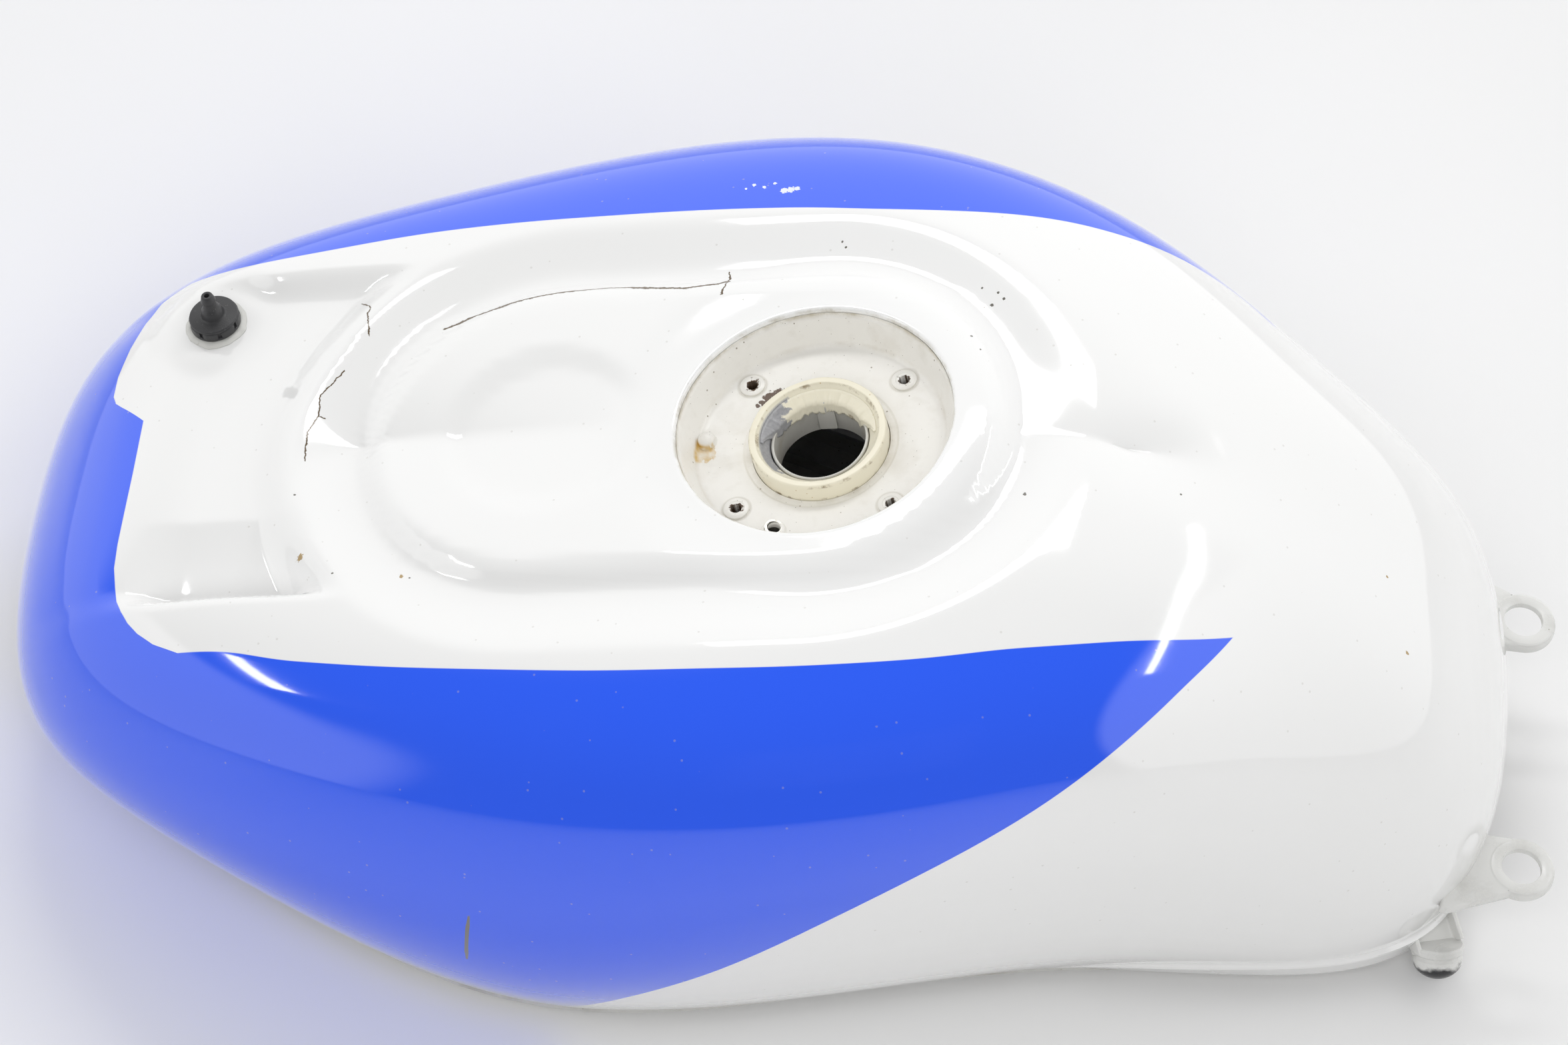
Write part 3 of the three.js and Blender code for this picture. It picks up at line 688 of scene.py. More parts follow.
@dataclass
class Skin:
    """The pressed outer shell with its rolled recess edge.

    Attributes:
        surface: The surface that it follows.
        around: Steps round the tank.
        bands: Rows of the cage, with the steps taken in each stretch.
        thickness: Sheet thickness in millimetres.
        roll: The recess edge from the land down into the cup, as (radius, height) in millimetres.
        trim_r: Where the skin is trimmed for that edge.
        tunnel_half: Half width of the frame tunnel's cut.
        tunnel_top: Its height above the rest plane.
        tunnel_corner: Its corner radius.
    """

    surface: PressedSurface = field(default_factory=PressedSurface)
    around: int = 384
    bands: tuple = ((0.0, 0.7, 14), (0.7, 2.0, 62), (2.0, 2.6, 12), (2.6, 4.0, 16), (4.0, 5.0, 22))
    thickness: float = 1.5
    roll: tuple = ((61.9, 0.0), (61.3, -0.12), (60.8, -0.45), (60.45, -0.95), (60.28, -1.6), (60.25, -2.6))
    trim_r: float = 63.0
    tunnel_half: float = 36.3
    tunnel_top: float = 60.3
    tunnel_corner: float = 12.0

    def _grid(self) -> tuple[np.ndarray, list]:
        """The whole surface as points and quads, with its two halves joined along the spine.

        Returns:
            The points and faces.
        """
        rows = [0.0]
        for start, end, steps in self.bands:
            rows.extend(start + (end - start) * np.arange(1, steps + 1) / steps)
        u = np.arange(self.around) * self.surface.columns / self.around
        uu, vv = np.meshgrid(u, np.array(rows))
        points = self.surface.points(uu, vv).reshape(-1, 3)
        ids = np.arange(len(points)).reshape(len(rows), self.around)
        half = self.around // 2
        ids[0, half + 1:] = ids[0, 1:half][::-1]
        faces = []
        for r in range(len(rows) - 1):
            for i in range(self.around):
                k = (i + 1) % self.around
                ring = [ids[r, i], ids[r + 1, i], ids[r + 1, k], ids[r, k]]
                faces.append(list(dict.fromkeys(int(v) for v in ring)))
        return points, faces

    def _outside_recess(self, p: np.ndarray) -> np.ndarray:
        """Positive outside the circle where the rolled edge takes over."""
        q = FILLER.into(p) / MM
        return np.where(np.abs(q[:, 2]) < 30, np.hypot(q[:, 0], q[:, 1]) - self.trim_r, 1.0)

    def _outside_tunnel(self, p: np.ndarray) -> np.ndarray:
        """Positive outside the frame tunnel.

        Args:
            p: Points in metres.

        Returns:
            Distances in millimetres.
        """
        r = self.tunnel_corner
        across = np.abs(p[:, 1]) / MM - (self.tunnel_half - r)
        up = p[:, 2] / MM - (self.tunnel_top - r)
        corner = np.hypot(np.maximum(across, 0), np.maximum(up, 0)) - r
        return np.where(np.maximum(across, up) < 0, np.maximum(across, up) - r, corner)

    def _rolled_edge(self, points: np.ndarray, faces: list) -> tuple[np.ndarray, list]:
        """Adds the rolled edge to the trimmed recess hole.

        Args:
            points: The trimmed vertices.
            faces: The trimmed faces, which grow.

        Returns:
            All vertices and faces.
        """
        edges = {(a, face[(i + 1) % len(face)]): True for face in faces for i, a in enumerate(face)}
        local = FILLER.into(points) / MM
        rim = np.abs(np.hypot(local[:, 0], local[:, 1]) - self.trim_r) < 0.05
        onward = {b: a for a, b in edges if (b, a) not in edges and rim[a] and rim[b]}
        loop = [next(iter(onward))]
        while onward[loop[-1]] != loop[0]:
            loop.append(onward[loop[-1]])
        angle = np.arctan2(local[loop, 1], local[loop, 0])
        made = [points]
        above = loop
        count = len(points)
        for r, z in self.roll:
            ring = np.stack([r * np.cos(angle), r * np.sin(angle), np.full(len(loop), z)], -1)
            made.append(FILLER.out(ring * MM))
            below = list(range(count, count + len(loop)))
            count += len(loop)
            for i in range(len(loop)):
                k = (i + 1) % len(loop)
                faces.append([above[i], above[k], below[k], below[i]])
            above = below
        return np.concatenate(made), faces

    def build(self, paint: bpy.types.Material) -> bpy.types.Object:
        """Builds the skin and gives it a wall.

        Args:
            paint: The body paint.

        Returns:
            The finished piece.
        """
        points, faces = self._grid()
        points, faces = clipped(points, faces, self._outside_recess)
        points, faces = clipped(points, faces, self._outside_tunnel)
        points, faces = self._rolled_edge(points, faces)
        piece = bare_object("tank_skin", Soup(points, faces))
        bm = bmesh.new()
        bm.from_mesh(piece.data)
        bmesh.ops.remove_doubles(bm, verts=bm.verts, dist=1e-6)
        bmesh.ops.recalc_face_normals(bm, faces=bm.faces)
        highest = max(bm.faces, key=lambda f: f.calc_center_median().z)
        if highest.normal.z < 0:
            bmesh.ops.reverse_faces(bm, faces=bm.faces)
        bm.to_mesh(piece.data)
        bm.free()
        wall = piece.modifiers.new("wall", "SOLIDIFY")
        wall.thickness = self.thickness * MM
        wall.offset = -1
        return dress_piece(piece, paint, ["outer_shell"], crease=50)


# ---- repeated shapes
class RingTree:
    """A Geometry Nodes tree that sets copies of a shape round a seat's axis."""

    NAME = "ring_of_copies"

    def __init__(self) -> None:
        """Builds the tree and keeps its socket identifiers."""
        tree = bpy.data.node_groups.new(self.NAME, "GeometryNodeTree")
        self.tree = tree
        self.ids: dict[str, str] = {}
        for name, kind in (
            ("Shape", "NodeSocketObject"), ("Count", "NodeSocketInt"), ("Radius", "NodeSocketFloat"),
            ("Turn", "NodeSocketFloat"), ("Origin", "NodeSocketVector"), ("Lean", "NodeSocketFloat"),
            ("Finish", "NodeSocketMaterial"),
        ):
            socket = tree.interface.new_socket(name=name, in_out="INPUT", socket_type=kind)
            self.ids[name] = socket.identifier
        tree.interface.new_socket(name="Geometry", in_out="OUTPUT", socket_type="NodeSocketGeometry")
        given = tree.nodes.new("NodeGroupInput").outputs
        result = tree.nodes.new("NodeGroupOutput")
        g = Graph(tree)
        circle = g.add("GeometryNodeMeshCircle", {"Vertices": given["Count"], "Radius": given["Radius"]})
        shape = g.add("GeometryNodeObjectInfo", {"Object": given["Shape"]})
        split = g.add("ShaderNodeSeparateXYZ", {0: g.add("GeometryNodeInputPosition").outputs[0]})
        heading = g.math("ARCTAN2", split.outputs["Y"], split.outputs["X"])
        facing = g.add("ShaderNodeCombineXYZ", {"Z": heading})
        copies = g.add("GeometryNodeInstanceOnPoints", {
            "Points": circle.outputs["Mesh"], "Instance": shape.outputs["Geometry"],
            "Rotation": facing.outputs[0],
        })
        turn = g.add("ShaderNodeCombineXYZ", {"Z": given["Turn"]})
        turned = g.add("GeometryNodeTransform", {
            "Geometry": copies.outputs["Instances"], "Rotation": turn.outputs[0],
        })
        lean = g.add("ShaderNodeCombineXYZ", {"Y": given["Lean"]})
        placed = g.add("GeometryNodeTransform", {
            "Geometry": turned.outputs[0], "Translation": given["Origin"], "Rotation": lean.outputs[0],
        })
        solid = g.add("GeometryNodeRealizeInstances", {0: placed.outputs[0]})
        finish = g.add("GeometryNodeSetMaterial", {"Geometry": solid.outputs[0], "Material": given["Finish"]})
        g.feed(result.inputs[0], finish.outputs[0])

    def copies(
        self,
        name: str,
        shape: Soup,
        count: int,
        radius: float,
        turn: float,
        seat: Seat,
        material: bpy.types.Material,
    ) -> bpy.types.Object:
        """Sets copies of a shape round a seat and returns them as one plain mesh.

        Args:
            name: The new object's name.
            shape: The shape, built about its own origin with +X pointing outward.
            count: How many copies.
            radius: How far out they stand, in millimetres.
            turn: Where the first one stands, in degrees.
            seat: The seat that they stand round.
            material: Their material.

        Returns:
            An object that isn't registered yet.
        """
        source = bare_object(name + "_source", shape)
        host = bare_object(name, Soup([(0, 0, 0)], []))
        modifier = host.modifiers.new("ring", "NODES")
        modifier.node_group = self.tree
        values = {
            "Shape": source, "Count": count, "Radius": radius * MM, "Turn": math.radians(turn),
            "Origin": seat.origin, "Lean": math.radians(seat.lean), "Finish": material,
        }
        for key, value in values.items():
            modifier[self.ids[key]] = value
        host.update_tag()
        dg = bpy.context.evaluated_depsgraph_get()
        result = bpy.data.meshes.new_from_object(host.evaluated_get(dg))
        host.modifiers.remove(modifier)
        host.data = result
        bpy.data.objects.remove(source)
        return host


# ---- shader graphs
class Graph:
    """A shader node tree while it is being wired."""

    def __init__(self, tree: bpy.types.NodeTree) -> None:
        """Starts on a tree."""
        self.tree = tree

    def add(self, kind: str, inputs: Optional[dict] = None, **settings) -> bpy.types.Node:
        """Adds a node.

        Args:
            kind: The node's type name.
            inputs: Values or sockets for its inputs, by name or number.
            **settings: Its properties.

        Returns:
            The node.
        """
        node = self.tree.nodes.new(kind)
        for key, value in settings.items():
            setattr(node, key, value)
        for key, value in (inputs or {}).items():
            self.feed(node.inputs[key], value)
        return node

    def feed(self, socket: Socket, value: Feed) -> None:
        """Links a socket, or sets its value."""
        if isinstance(value, Socket):
            self.tree.links.new(value, socket)
        else:
            socket.default_value = value

    def math(self, operation: str, a: Feed, b: Feed = 0.0, c: Feed = 0.0, clamp: bool = False) -> Socket:
        """A number worked out by a Math node."""
        inputs = {0: a, 1: b, 2: c}
        return self.add("ShaderNodeMath", inputs, operation=operation, use_clamp=clamp).outputs[0]

    def vector(self, operation: str, a: Feed, b: Feed = (0, 0, 0), out: str = "Vector") -> Socket:
        """A vector or number worked out by a Vector Math node."""
        return self.add("ShaderNodeVectorMath", {0: a, 1: b}, operation=operation).outputs[out]

    def fade(self, value: Feed, low: float, high: float) -> Socket:
        """A smooth step of a value between two others."""
        inputs = {"Value": value, "From Min": low, "From Max": high}
        return self.add("ShaderNodeMapRange", inputs, interpolation_type="SMOOTHSTEP").outputs[0]

    def scaled(self, value: Feed, low: float, high: float, start: float = 0.0, end: float = 1.0) -> Socket:
        """A straight map of a value from one range to another, limited to it."""
        inputs = {"Value": value, "From Min": low, "From Max": high, "To Min": start, "To Max": end}
        return self.add("ShaderNodeMapRange", inputs).outputs[0]

    def mix(self, factor: Feed, a: Feed, b: Feed) -> Socket:
        """A colour between two others.

        Args:
            factor: How far it is towards the second colour.
            a: The first colour.
            b: The second colour.

        Returns:
            The mixed colour.
        """
        node = self.add("ShaderNodeMix", data_type="RGBA")
        for key, value in ((0, factor), (6, a), (7, b)):
            if not isinstance(value, Socket) and key != 0 and len(value) == 3:
                value = (*value, 1.0)
            self.feed(node.inputs[key], value)
        return node.outputs[2]

    def noise(
        self, vector: Feed, scale: float, detail: float = 2.0, rough: float = 0.5, out: int = 0
    ) -> Socket:
        """A noise texture, as a value or, with out set to 1, as a colour."""
        inputs = {"Vector": vector, "Scale": scale, "Detail": detail, "Roughness": rough}
        return self.add("ShaderNodeTexNoise", inputs).outputs[out]

    def curve(
        self, value: Feed, points: Sequence[Point], low: float, high: float, handle: str = "AUTO"
    ) -> Socket:
        """A curve of a value, drawn through given points.

        Args:
            value: The value that is looked up.
            points: The curve's points (value, result), in order.
            low: The lowest result that any point has.
            high: The highest.
            handle: How the curve runs between its points.

        Returns:
            The curve's result.
        """
        first, last = points[0][0], points[-1][0]
        node = self.add("ShaderNodeFloatCurve", {"Value": self.scaled(value, first, last)})
        curve = node.mapping.curves[0]
        for i, (a, b) in enumerate(points):
            at = ((a - first) / (last - first), (b - low) / (high - low))
            if i in (0, len(points) - 1):
                curve.points[0 if i == 0 else -1].location = at
            else:
                curve.points.new(*at)
        for point in curve.points:
            point.handle_type = handle
        node.mapping.update()
        return self.scaled(node.outputs[0], 0.0, 1.0, low, high)

    def place(self, tree: bpy.types.NodeTree, inputs: dict) -> bpy.types.Node:
        """Places a node group."""
        return self.add("ShaderNodeGroup", inputs, node_tree=tree)


def new_group(name: str, inputs: Sequence[tuple], outputs: Sequence[tuple]) -> tuple:
    """Starts a shader node group.

    Args:
        name: Its name.
        inputs: Its inputs, as (name, socket type, default).
        outputs: Its outputs, as (name, socket type).

    Returns:
        The tree, its graph, its input node and its output node.
    """
    tree = bpy.data.node_groups.new(name, "ShaderNodeTree")
    for label, kind, default in inputs:
        socket = tree.interface.new_socket(name=label, in_out="INPUT", socket_type="NodeSocket" + kind)
        if default is not None:
            socket.default_value = default
    for label, kind in outputs:
        tree.interface.new_socket(name=label, in_out="OUTPUT", socket_type="NodeSocket" + kind)
    graph = Graph(tree)
    return tree, graph, tree.nodes.new("NodeGroupInput"), tree.nodes.new("NodeGroupOutput")


class Effects:
    """The shader node groups that several materials share."""

    def __init__(self) -> None:
        """Builds each group once."""
        self.stroke = self._stroke()
        self.spot = self._spot()
        self.grime = self._grime()
        self.peel = self._peel()
        self.livery = self._livery()

    @staticmethod
    def _stroke() -> bpy.types.NodeTree:
        """Distance from a straight stroke between two points.

        Returns:
            The group.
        """
        tree, g, given, result = new_group(
            "stroke",
            [("Position", "Vector", None), ("Start", "Vector", None), ("End", "Vector", None)],
            [("Distance", "Float")],
        )
        from_start = g.vector("SUBTRACT", given.outputs[0], given.outputs[1])
        run = g.vector("SUBTRACT", given.outputs[2], given.outputs[1])
        along = g.vector("DOT_PRODUCT", from_start, run, "Value")
        whole = g.vector("DOT_PRODUCT", run, run, "Value")
        share = g.math("DIVIDE", along, whole, clamp=True)
        foot = g.add("ShaderNodeVectorMath", {0: run}, operation="SCALE")
        g.feed(foot.inputs["Scale"], share)
        distance = g.vector("DISTANCE", from_start, foot.outputs[0], "Value")
        g.feed(result.inputs[0], distance)
        return tree

    @staticmethod
    def _spot() -> bpy.types.NodeTree:
        """A ragged spot about a point.

        Returns:
            The group.
        """
        tree, g, given, result = new_group(
            "spot",
            [("Position", "Vector", None), ("Centre", "Vector", None), ("Radius", "Float", 0.002),
             ("Ragged", "Float", 0.5), ("Scale", "Float", 900.0)],
            [("Mask", "Float")],
        )
        distance = g.vector("DISTANCE", given.outputs[0], given.outputs[1], "Value")
        wobble = g.noise(given.outputs[0], 900.0, 3.0)
        g.feed(wobble.node.inputs["Scale"], given.outputs["Scale"])
        swing = g.math("MULTIPLY", g.math("SUBTRACT", wobble, 0.5), given.outputs["Ragged"])
        size = g.math("MULTIPLY", given.outputs["Radius"], g.math("MULTIPLY_ADD", swing, 2.0, 1.0))
        share = g.math("DIVIDE", distance, size)
        g.feed(result.inputs[0], g.fade(share, 1.1, 0.85))
        return tree

    @staticmethod
    def _grime() -> bpy.types.NodeTree:
        """Blotchy dirt and small specks.

        Returns:
            The group.
        """
        tree, g, given, result = new_group(
            "grime",
            [("Position", "Vector", None), ("Scale", "Float", 40.0), ("Cover", "Float", 0.5),
             ("Speck Scale", "Float", 700.0)],
            [("Blotch", "Float"), ("Speck", "Float")],
        )
        cloud = g.noise(given.outputs["Position"], 40.0, 5.0, 0.62)
        g.feed(cloud.node.inputs["Scale"], given.outputs["Scale"])
        level = g.math("SUBTRACT", 1.0, given.outputs["Cover"])
        g.feed(result.inputs[0], g.math("MULTIPLY", g.math("SUBTRACT", cloud, level), 3.0, clamp=True))
        cells = g.add("ShaderNodeTexVoronoi", {"Vector": given.outputs["Position"]})
        g.feed(cells.inputs["Scale"], given.outputs["Speck Scale"])
        dot = g.fade(cells.outputs["Distance"], 0.17, 0.10)
        pick = g.add("ShaderNodeSeparateColor", {0: cells.outputs["Color"]}).outputs[0]
        g.feed(result.inputs[1], g.math("MULTIPLY", dot, g.math("GREATER_THAN", pick, 0.93)))
        return tree

    @staticmethod
    def _peel() -> bpy.types.NodeTree:
        """The faint orange peel of sprayed paint, as a height.

        Returns:
            The group.
        """
        tree, g, given, result = new_group(
            "orange_peel",
            [("Position", "Vector", None), ("Coarse", "Float", 260.0), ("Fine", "Float", 1400.0)],
            [("Height", "Float")],
        )
        coarse = g.noise(given.outputs["Position"], 260.0, 2.0)
        g.feed(coarse.node.inputs["Scale"], given.outputs["Coarse"])
        fine = g.noise(given.outputs["Position"], 1400.0, 1.0)
        g.feed(fine.node.inputs["Scale"], given.outputs["Fine"])
        g.feed(result.inputs[0], g.math("MULTIPLY_ADD", fine, 0.25, coarse))
        return tree

    @staticmethod
    def _livery() -> bpy.types.NodeTree:
        """The blue side band: 1 on blue and 0 on white, from the position on the tank.

        The curves are the borders of the white top and of the white tail, in metres.

        Returns:
            The group.
        """
        left_border = [(-0.230, 0.050), (-0.179, 0.080), (-0.138, 0.097), (-0.089, 0.113), (-0.025, 0.1265),
                       (0.0535, 0.1294), (0.134, 0.1255), (0.208, 0.118), (0.252, 0.110), (0.330, 0.110)]
        right_border = [(-0.230, 0.085), (-0.191, 0.107), (-0.165, 0.119), (-0.107, 0.1195), (-0.021, 0.117),
                        (0.029, 0.119), (0.098, 0.120), (0.169, 0.118), (0.262, 0.106), (0.330, 0.104)]
        front_border = [(-0.125, 0.262), (-0.112, 0.282), (-0.102, 0.297), (-0.094, 0.3055), (-0.082, 0.3105),
                        (-0.065, 0.3145), (-0.048, 0.3168), (-0.036, 0.3165), (-0.031, 0.3145),
                        (-0.0275, 0.311), (-0.0178, 0.2995), (0.012, 0.2988), (0.050, 0.2985),
                        (0.062, 0.2978), (0.072, 0.2955), (0.0795, 0.2935), (0.0865, 0.2902),
                        (0.0925, 0.2862), (0.098, 0.281), (0.104, 0.273), (0.110, 0.260), (0.118, 0.220)]
        left_diagonal = [(-0.110, 0.100), (-0.095, 0.0905), (-0.066, 0.071), (-0.0075, 0.0125),
                         (0.044, -0.038), (0.098, -0.098), (0.150, -0.156), (0.167, -0.179), (0.190, -0.205)]
        right_diagonal = [(-0.110, 0.100), (-0.095, 0.0905), (-0.066, 0.071), (-0.0075, 0.006),
                          (0.044, -0.060), (0.098, -0.140), (0.1335, -0.194), (0.190, -0.262)]
        tree, g, given, result = new_group("livery", [("Position", "Vector", None)], [("Blue", "Float")])
        split = g.add("ShaderNodeSeparateXYZ", {0: given.outputs[0]})
        x, y, z = split.outputs
        side = g.math("ABSOLUTE", y)
        on_left = g.math("GREATER_THAN", y, 0.0)

        def either(left: Socket, right: Socket) -> Socket:
            """Picks the value for the side that the point is on."""
            return g.math("ADD", g.math("MULTIPLY", left, on_left),
                          g.math("MULTIPLY", right, g.math("SUBTRACT", 1.0, on_left)))

        soft = 0.00025
        border = either(g.curve(x, left_border, 0.0, 0.15), g.curve(x, right_border, 0.0, 0.15))
        beside = g.fade(g.math("SUBTRACT", side, border), -soft, soft)
        ahead = g.fade(g.math("SUBTRACT", x, g.curve(y, front_border, 0.15, 0.35, "VECTOR")), -soft, soft)
        nose = g.math("LESS_THAN", side, 0.118)
        under_nose = g.math("LESS_THAN", z, 0.075)
        beyond = g.math("MAXIMUM", beside, g.math("MULTIPLY", ahead, nose))
        outside_top = g.math("MAXIMUM", beyond, under_nose)
        height = g.math("SUBTRACT", g.math("SUBTRACT", z, HEM_Z), g.math("MULTIPLY", side, 0.5))
        diagonal = either(g.curve(height, left_diagonal, -0.3, 0.15),
                          g.curve(height, right_diagonal, -0.3, 0.15))
        before = g.fade(g.math("SUBTRACT", x, diagonal), -soft, soft)
        g.feed(result.inputs[0], g.math("MULTIPLY", outside_top, before))
        return tree


def coordinates(graph: Graph) -> Socket:
    """A piece's own Object coordinates."""
    return graph.add("ShaderNodeTexCoord").outputs["Object"]


def seat_coordinates(graph: Graph, seat: Seat) -> Socket:
    """Object coordinates turned and moved into a seat's frame.

    Args:
        graph: The graph that it is for.
        seat: The seat.

    Returns:
        The coordinates, in metres.
    """
    inverse = seat.matrix.inverted()
    node = graph.add("ShaderNodeMapping", {"Vector": coordinates(graph)}, vector_type="POINT")
    node.inputs["Location"].default_value = inverse.to_translation()
    node.inputs["Rotation"].default_value = inverse.to_euler()
    return node.outputs[0]


# ---- finishes
@dataclass(frozen=True)
class Finish:
    """A material: its name and the effects that it is made with."""

    name: str
    effects: Effects

    def start(self) -> tuple[bpy.types.Material, Graph, bpy.types.Node]:
        """Makes an empty material with its shader.

        Returns:
            The material, its graph and its Principled BSDF.
        """
        material = bpy.data.materials.new(self.name)
        material.use_nodes = True
        material.node_tree.nodes.clear()
        graph = Graph(material.node_tree)
        shader = graph.add("ShaderNodeBsdfPrincipled")
        output = graph.add("ShaderNodeOutputMaterial")
        graph.feed(output.inputs[0], shader.outputs[0])
        return material, graph, shader

    @staticmethod
    def bump(g: Graph, shader: bpy.types.Node, height: Socket, strength: float, distance: float) -> None:
        """Feeds a height into the shader's normal."""
        node = g.add("ShaderNodeBump", {"Height": height, "Strength": strength, "Distance": distance})
        g.feed(shader.inputs["Normal"], node.outputs[0])

    def grime(self, g: Graph, at: Socket, scale: float, cover: float, specks: float) -> bpy.types.Node:
        """Places the shared grime with this finish's own values."""
        inputs = {"Position": at, "Scale": scale, "Cover": cover, "Speck Scale": specks}
        return g.place(self.effects.grime, inputs)

    def spots(
        self, g: Graph, at: Socket, spots: Sequence[Point], ragged: float, scale: float = 900.0
    ) -> Socket:
        """The mask of several ragged spots.

        Args:
            g: The material's graph.
            at: The position, with nothing in Z.
            spots: The spots, as (x, y, radius) in millimetres.
            ragged: How ragged their edges are.
            scale: How fine the raggedness is.

        Returns:
            The mask.
        """
        total: Feed = 0.0
        for x, y, radius in spots:
            inputs = {"Position": at, "Centre": (x * MM, y * MM, 0), "Radius": radius * MM, "Ragged": ragged,
                      "Scale": scale}
            total = g.math("MAXIMUM", total, g.place(self.effects.spot, inputs).outputs[0])
        return total


@dataclass(frozen=True)
class BodyPaint(Finish):
    """Glossy white with the blue band, cracked and chipped in places.

    Attributes:
        white: The white paint.
        blue: The blue paint.
        cracks: Crack routes seen from above, each with its width in metres.
        chips: Chips seen from above, as (x, y, radius) in millimetres.
        stains: Rust-brown dots, given in the same way.
        scratches: Pale scratches in the blue, given in the same way.
    """

    white: tuple = (0.87, 0.87, 0.865)
    blue: tuple = (0.014, 0.102, 0.92)
    cracks: tuple = (
        (0.00105, ((172, -62), (159, -67), (142, -73), (126, -76), (102, -79.5), (86, -77), (68, -74.5),
                   (54, -77.5), (50.4, -80.4))),
        (0.00045, ((50.4, -87), (49.6, -83), (50.3, -80), (52.5, -70))),
        (0.00042, ((211.5, -79.5), (206.5, -72.6), (207.5, -69), (205, -57))),
        (0.00045, ((213, -38), (217, -31), (221.5, -24), (220.5, -13), (224, -3), (222.5, 12))),
        (0.00036, ((220.5, -13), (217.5, -12.5))),
    )
    chips: tuple = (
        (-59.8, -75.3, 0.5), (-66.7, -72.6, 0.6), (-69.5, -69.5, 0.7), (-64.6, -66.5, 0.8),
        (-61.5, -65.5, 0.5), (-100.6, -35.7, 0.55), (-105.8, -36.8, 0.5), (2.7, -100.5, 0.5),
        (0.9, -97.8, 0.6), (-57.0, -43.8, 0.6), (-61.3, -36.5, 0.5), (-85.8, 34.0, 0.8), (124, 195.7, 1.0),
        (223.8, 31.7, 0.5), (200.6, 74.6, 0.5), (42.5, -67.1, 0.5), (167.6, 74.8, 0.45), (-152.0, 20.0, 0.5),
    )
    stains: tuple = ((216.5, 62.9, 1.3), (171, 74, 0.9), (-247.5, 17.3, 0.6), (-259.0, 47.5, 0.8))
    scratches: tuple = ((44.6, -134.2, 0.9), (40.0, -132.4, 1.0), (35.4, -134.7, 0.8), (31.0, -129.7, 1.6),
                        (28.2, -130.2, 1.8), (25.5, -130.6, 1.3), (48, -132, 0.6))

    def material(self) -> bpy.types.Material:
        """Builds the paint.

        Returns:
            The material.
        """
        material, g, shader = self.start()
        at = coordinates(g)
        flat = g.vector("MULTIPLY", at, (1, 1, 0))
        jag = g.vector("SUBTRACT", g.noise(at, 420.0, 3.0, 0.6, out=1), (0.5, 0.5, 0.5))
        shaken = g.vector("ADD", flat, g.vector("MULTIPLY", jag, (0.0022, 0.0022, 0)))
        livery = g.place(self.effects.livery, {"Position": at}).outputs[0]
        grime = self.grime(g, at, 14.0, 0.47, 260.0)
        shade = g.scaled(g.noise(at, 5.0, 3.0), 0.3, 0.7)
        white = g.mix(g.math("MULTIPLY", shade, 0.35), self.white, (0.85, 0.85, 0.835))
        blue = g.mix(g.math("MULTIPLY", grime.outputs["Blotch"], 0.12), self.blue, (0.03, 0.13, 0.88))
        colour = g.mix(livery, white, blue)
        seen = g.math("GREATER_THAN", g.add("ShaderNodeSeparateXYZ", {0: at}).outputs[2], 0.08)
        crack = self._cracks(g, shaken, seen)
        colour = g.mix(g.math("MULTIPLY", grime.outputs["Speck"], 0.3), colour, (0.46, 0.44, 0.40))
        scuff = self.spots(g, flat, self.scratches, 1.0)
        colour = g.mix(g.math("MULTIPLY", scuff, livery), colour, (0.78, 0.82, 0.90))
        colour = g.mix(self.spots(g, flat, self.chips, 0.9), colour, (0.16, 0.15, 0.13))
        colour = g.mix(self.spots(g, flat, self.stains, 1.0), colour, (0.40, 0.27, 0.10))
        local = g.add("ShaderNodeSeparateXYZ", {0: seat_coordinates(g, FILLER)})
        across = g.math("SQRT", g.math("ADD", g.math("POWER", local.outputs[0], 2.0),
                                       g.math("POWER", local.outputs[1], 2.0)))
        near = g.fade(across, 0.0619, 0.0603)
        patchy = g.scaled(g.noise(at, 90.0, 4.0, 0.65), 0.44, 0.62)
        dirt = g.math("MULTIPLY", g.math("MULTIPLY", near, patchy), 0.55)
        dirt = g.math("MULTIPLY", dirt, g.fade(local.outputs[2], 0.004, 0.001))
        colour = g.mix(dirt, colour, (0.42, 0.38, 0.28))
        colour = g.mix(crack, colour, (0.10, 0.06, 0.02))
        g.feed(shader.inputs["Base Color"], colour)
        haze = g.scaled(g.noise(at, 30.0, 4.0), 0.3, 0.75, 0.055, 0.10)
        g.feed(shader.inputs["Roughness"], g.math("MAXIMUM", haze, g.math("MULTIPLY", crack, 0.8)))
        shader.inputs["IOR"].default_value = 1.52
        shader.inputs["Coat Weight"].default_value = 1.0
        shader.inputs["Coat Roughness"].default_value = 0.04
        peel = g.place(self.effects.peel, {"Position": at}).outputs[0]
        height = g.math("SUBTRACT", g.math("MULTIPLY", peel, 0.03), g.math("MULTIPLY", crack, 1.0))
        self.bump(g, shader, height, 0.5, 0.0004)
        return material

    def _cracks(self, g: Graph, at: Socket, seen: Socket) -> Socket:
        """The mask of every crack.

        Args:
            g: The material's graph.
            at: The position, shaken, with nothing in Z.
            seen: 1 where cracks may show.

        Returns:
            The mask.
        """
        total: Feed = 0.0
        for width, route in self.cracks:
            nearest: Feed = 1.0
            for (x0, y0), (x1, y1) in zip(route, route[1:]):
                ends = {"Position": at, "Start": (x0 * MM, y0 * MM, 0), "End": (x1 * MM, y1 * MM, 0)}
                nearest = g.math("MINIMUM", nearest, g.place(self.effects.stroke, ends).outputs[0])
            total = g.math("MAXIMUM", total, g.fade(nearest, width, width * 0.45))
        return g.math("MULTIPLY", total, seen)


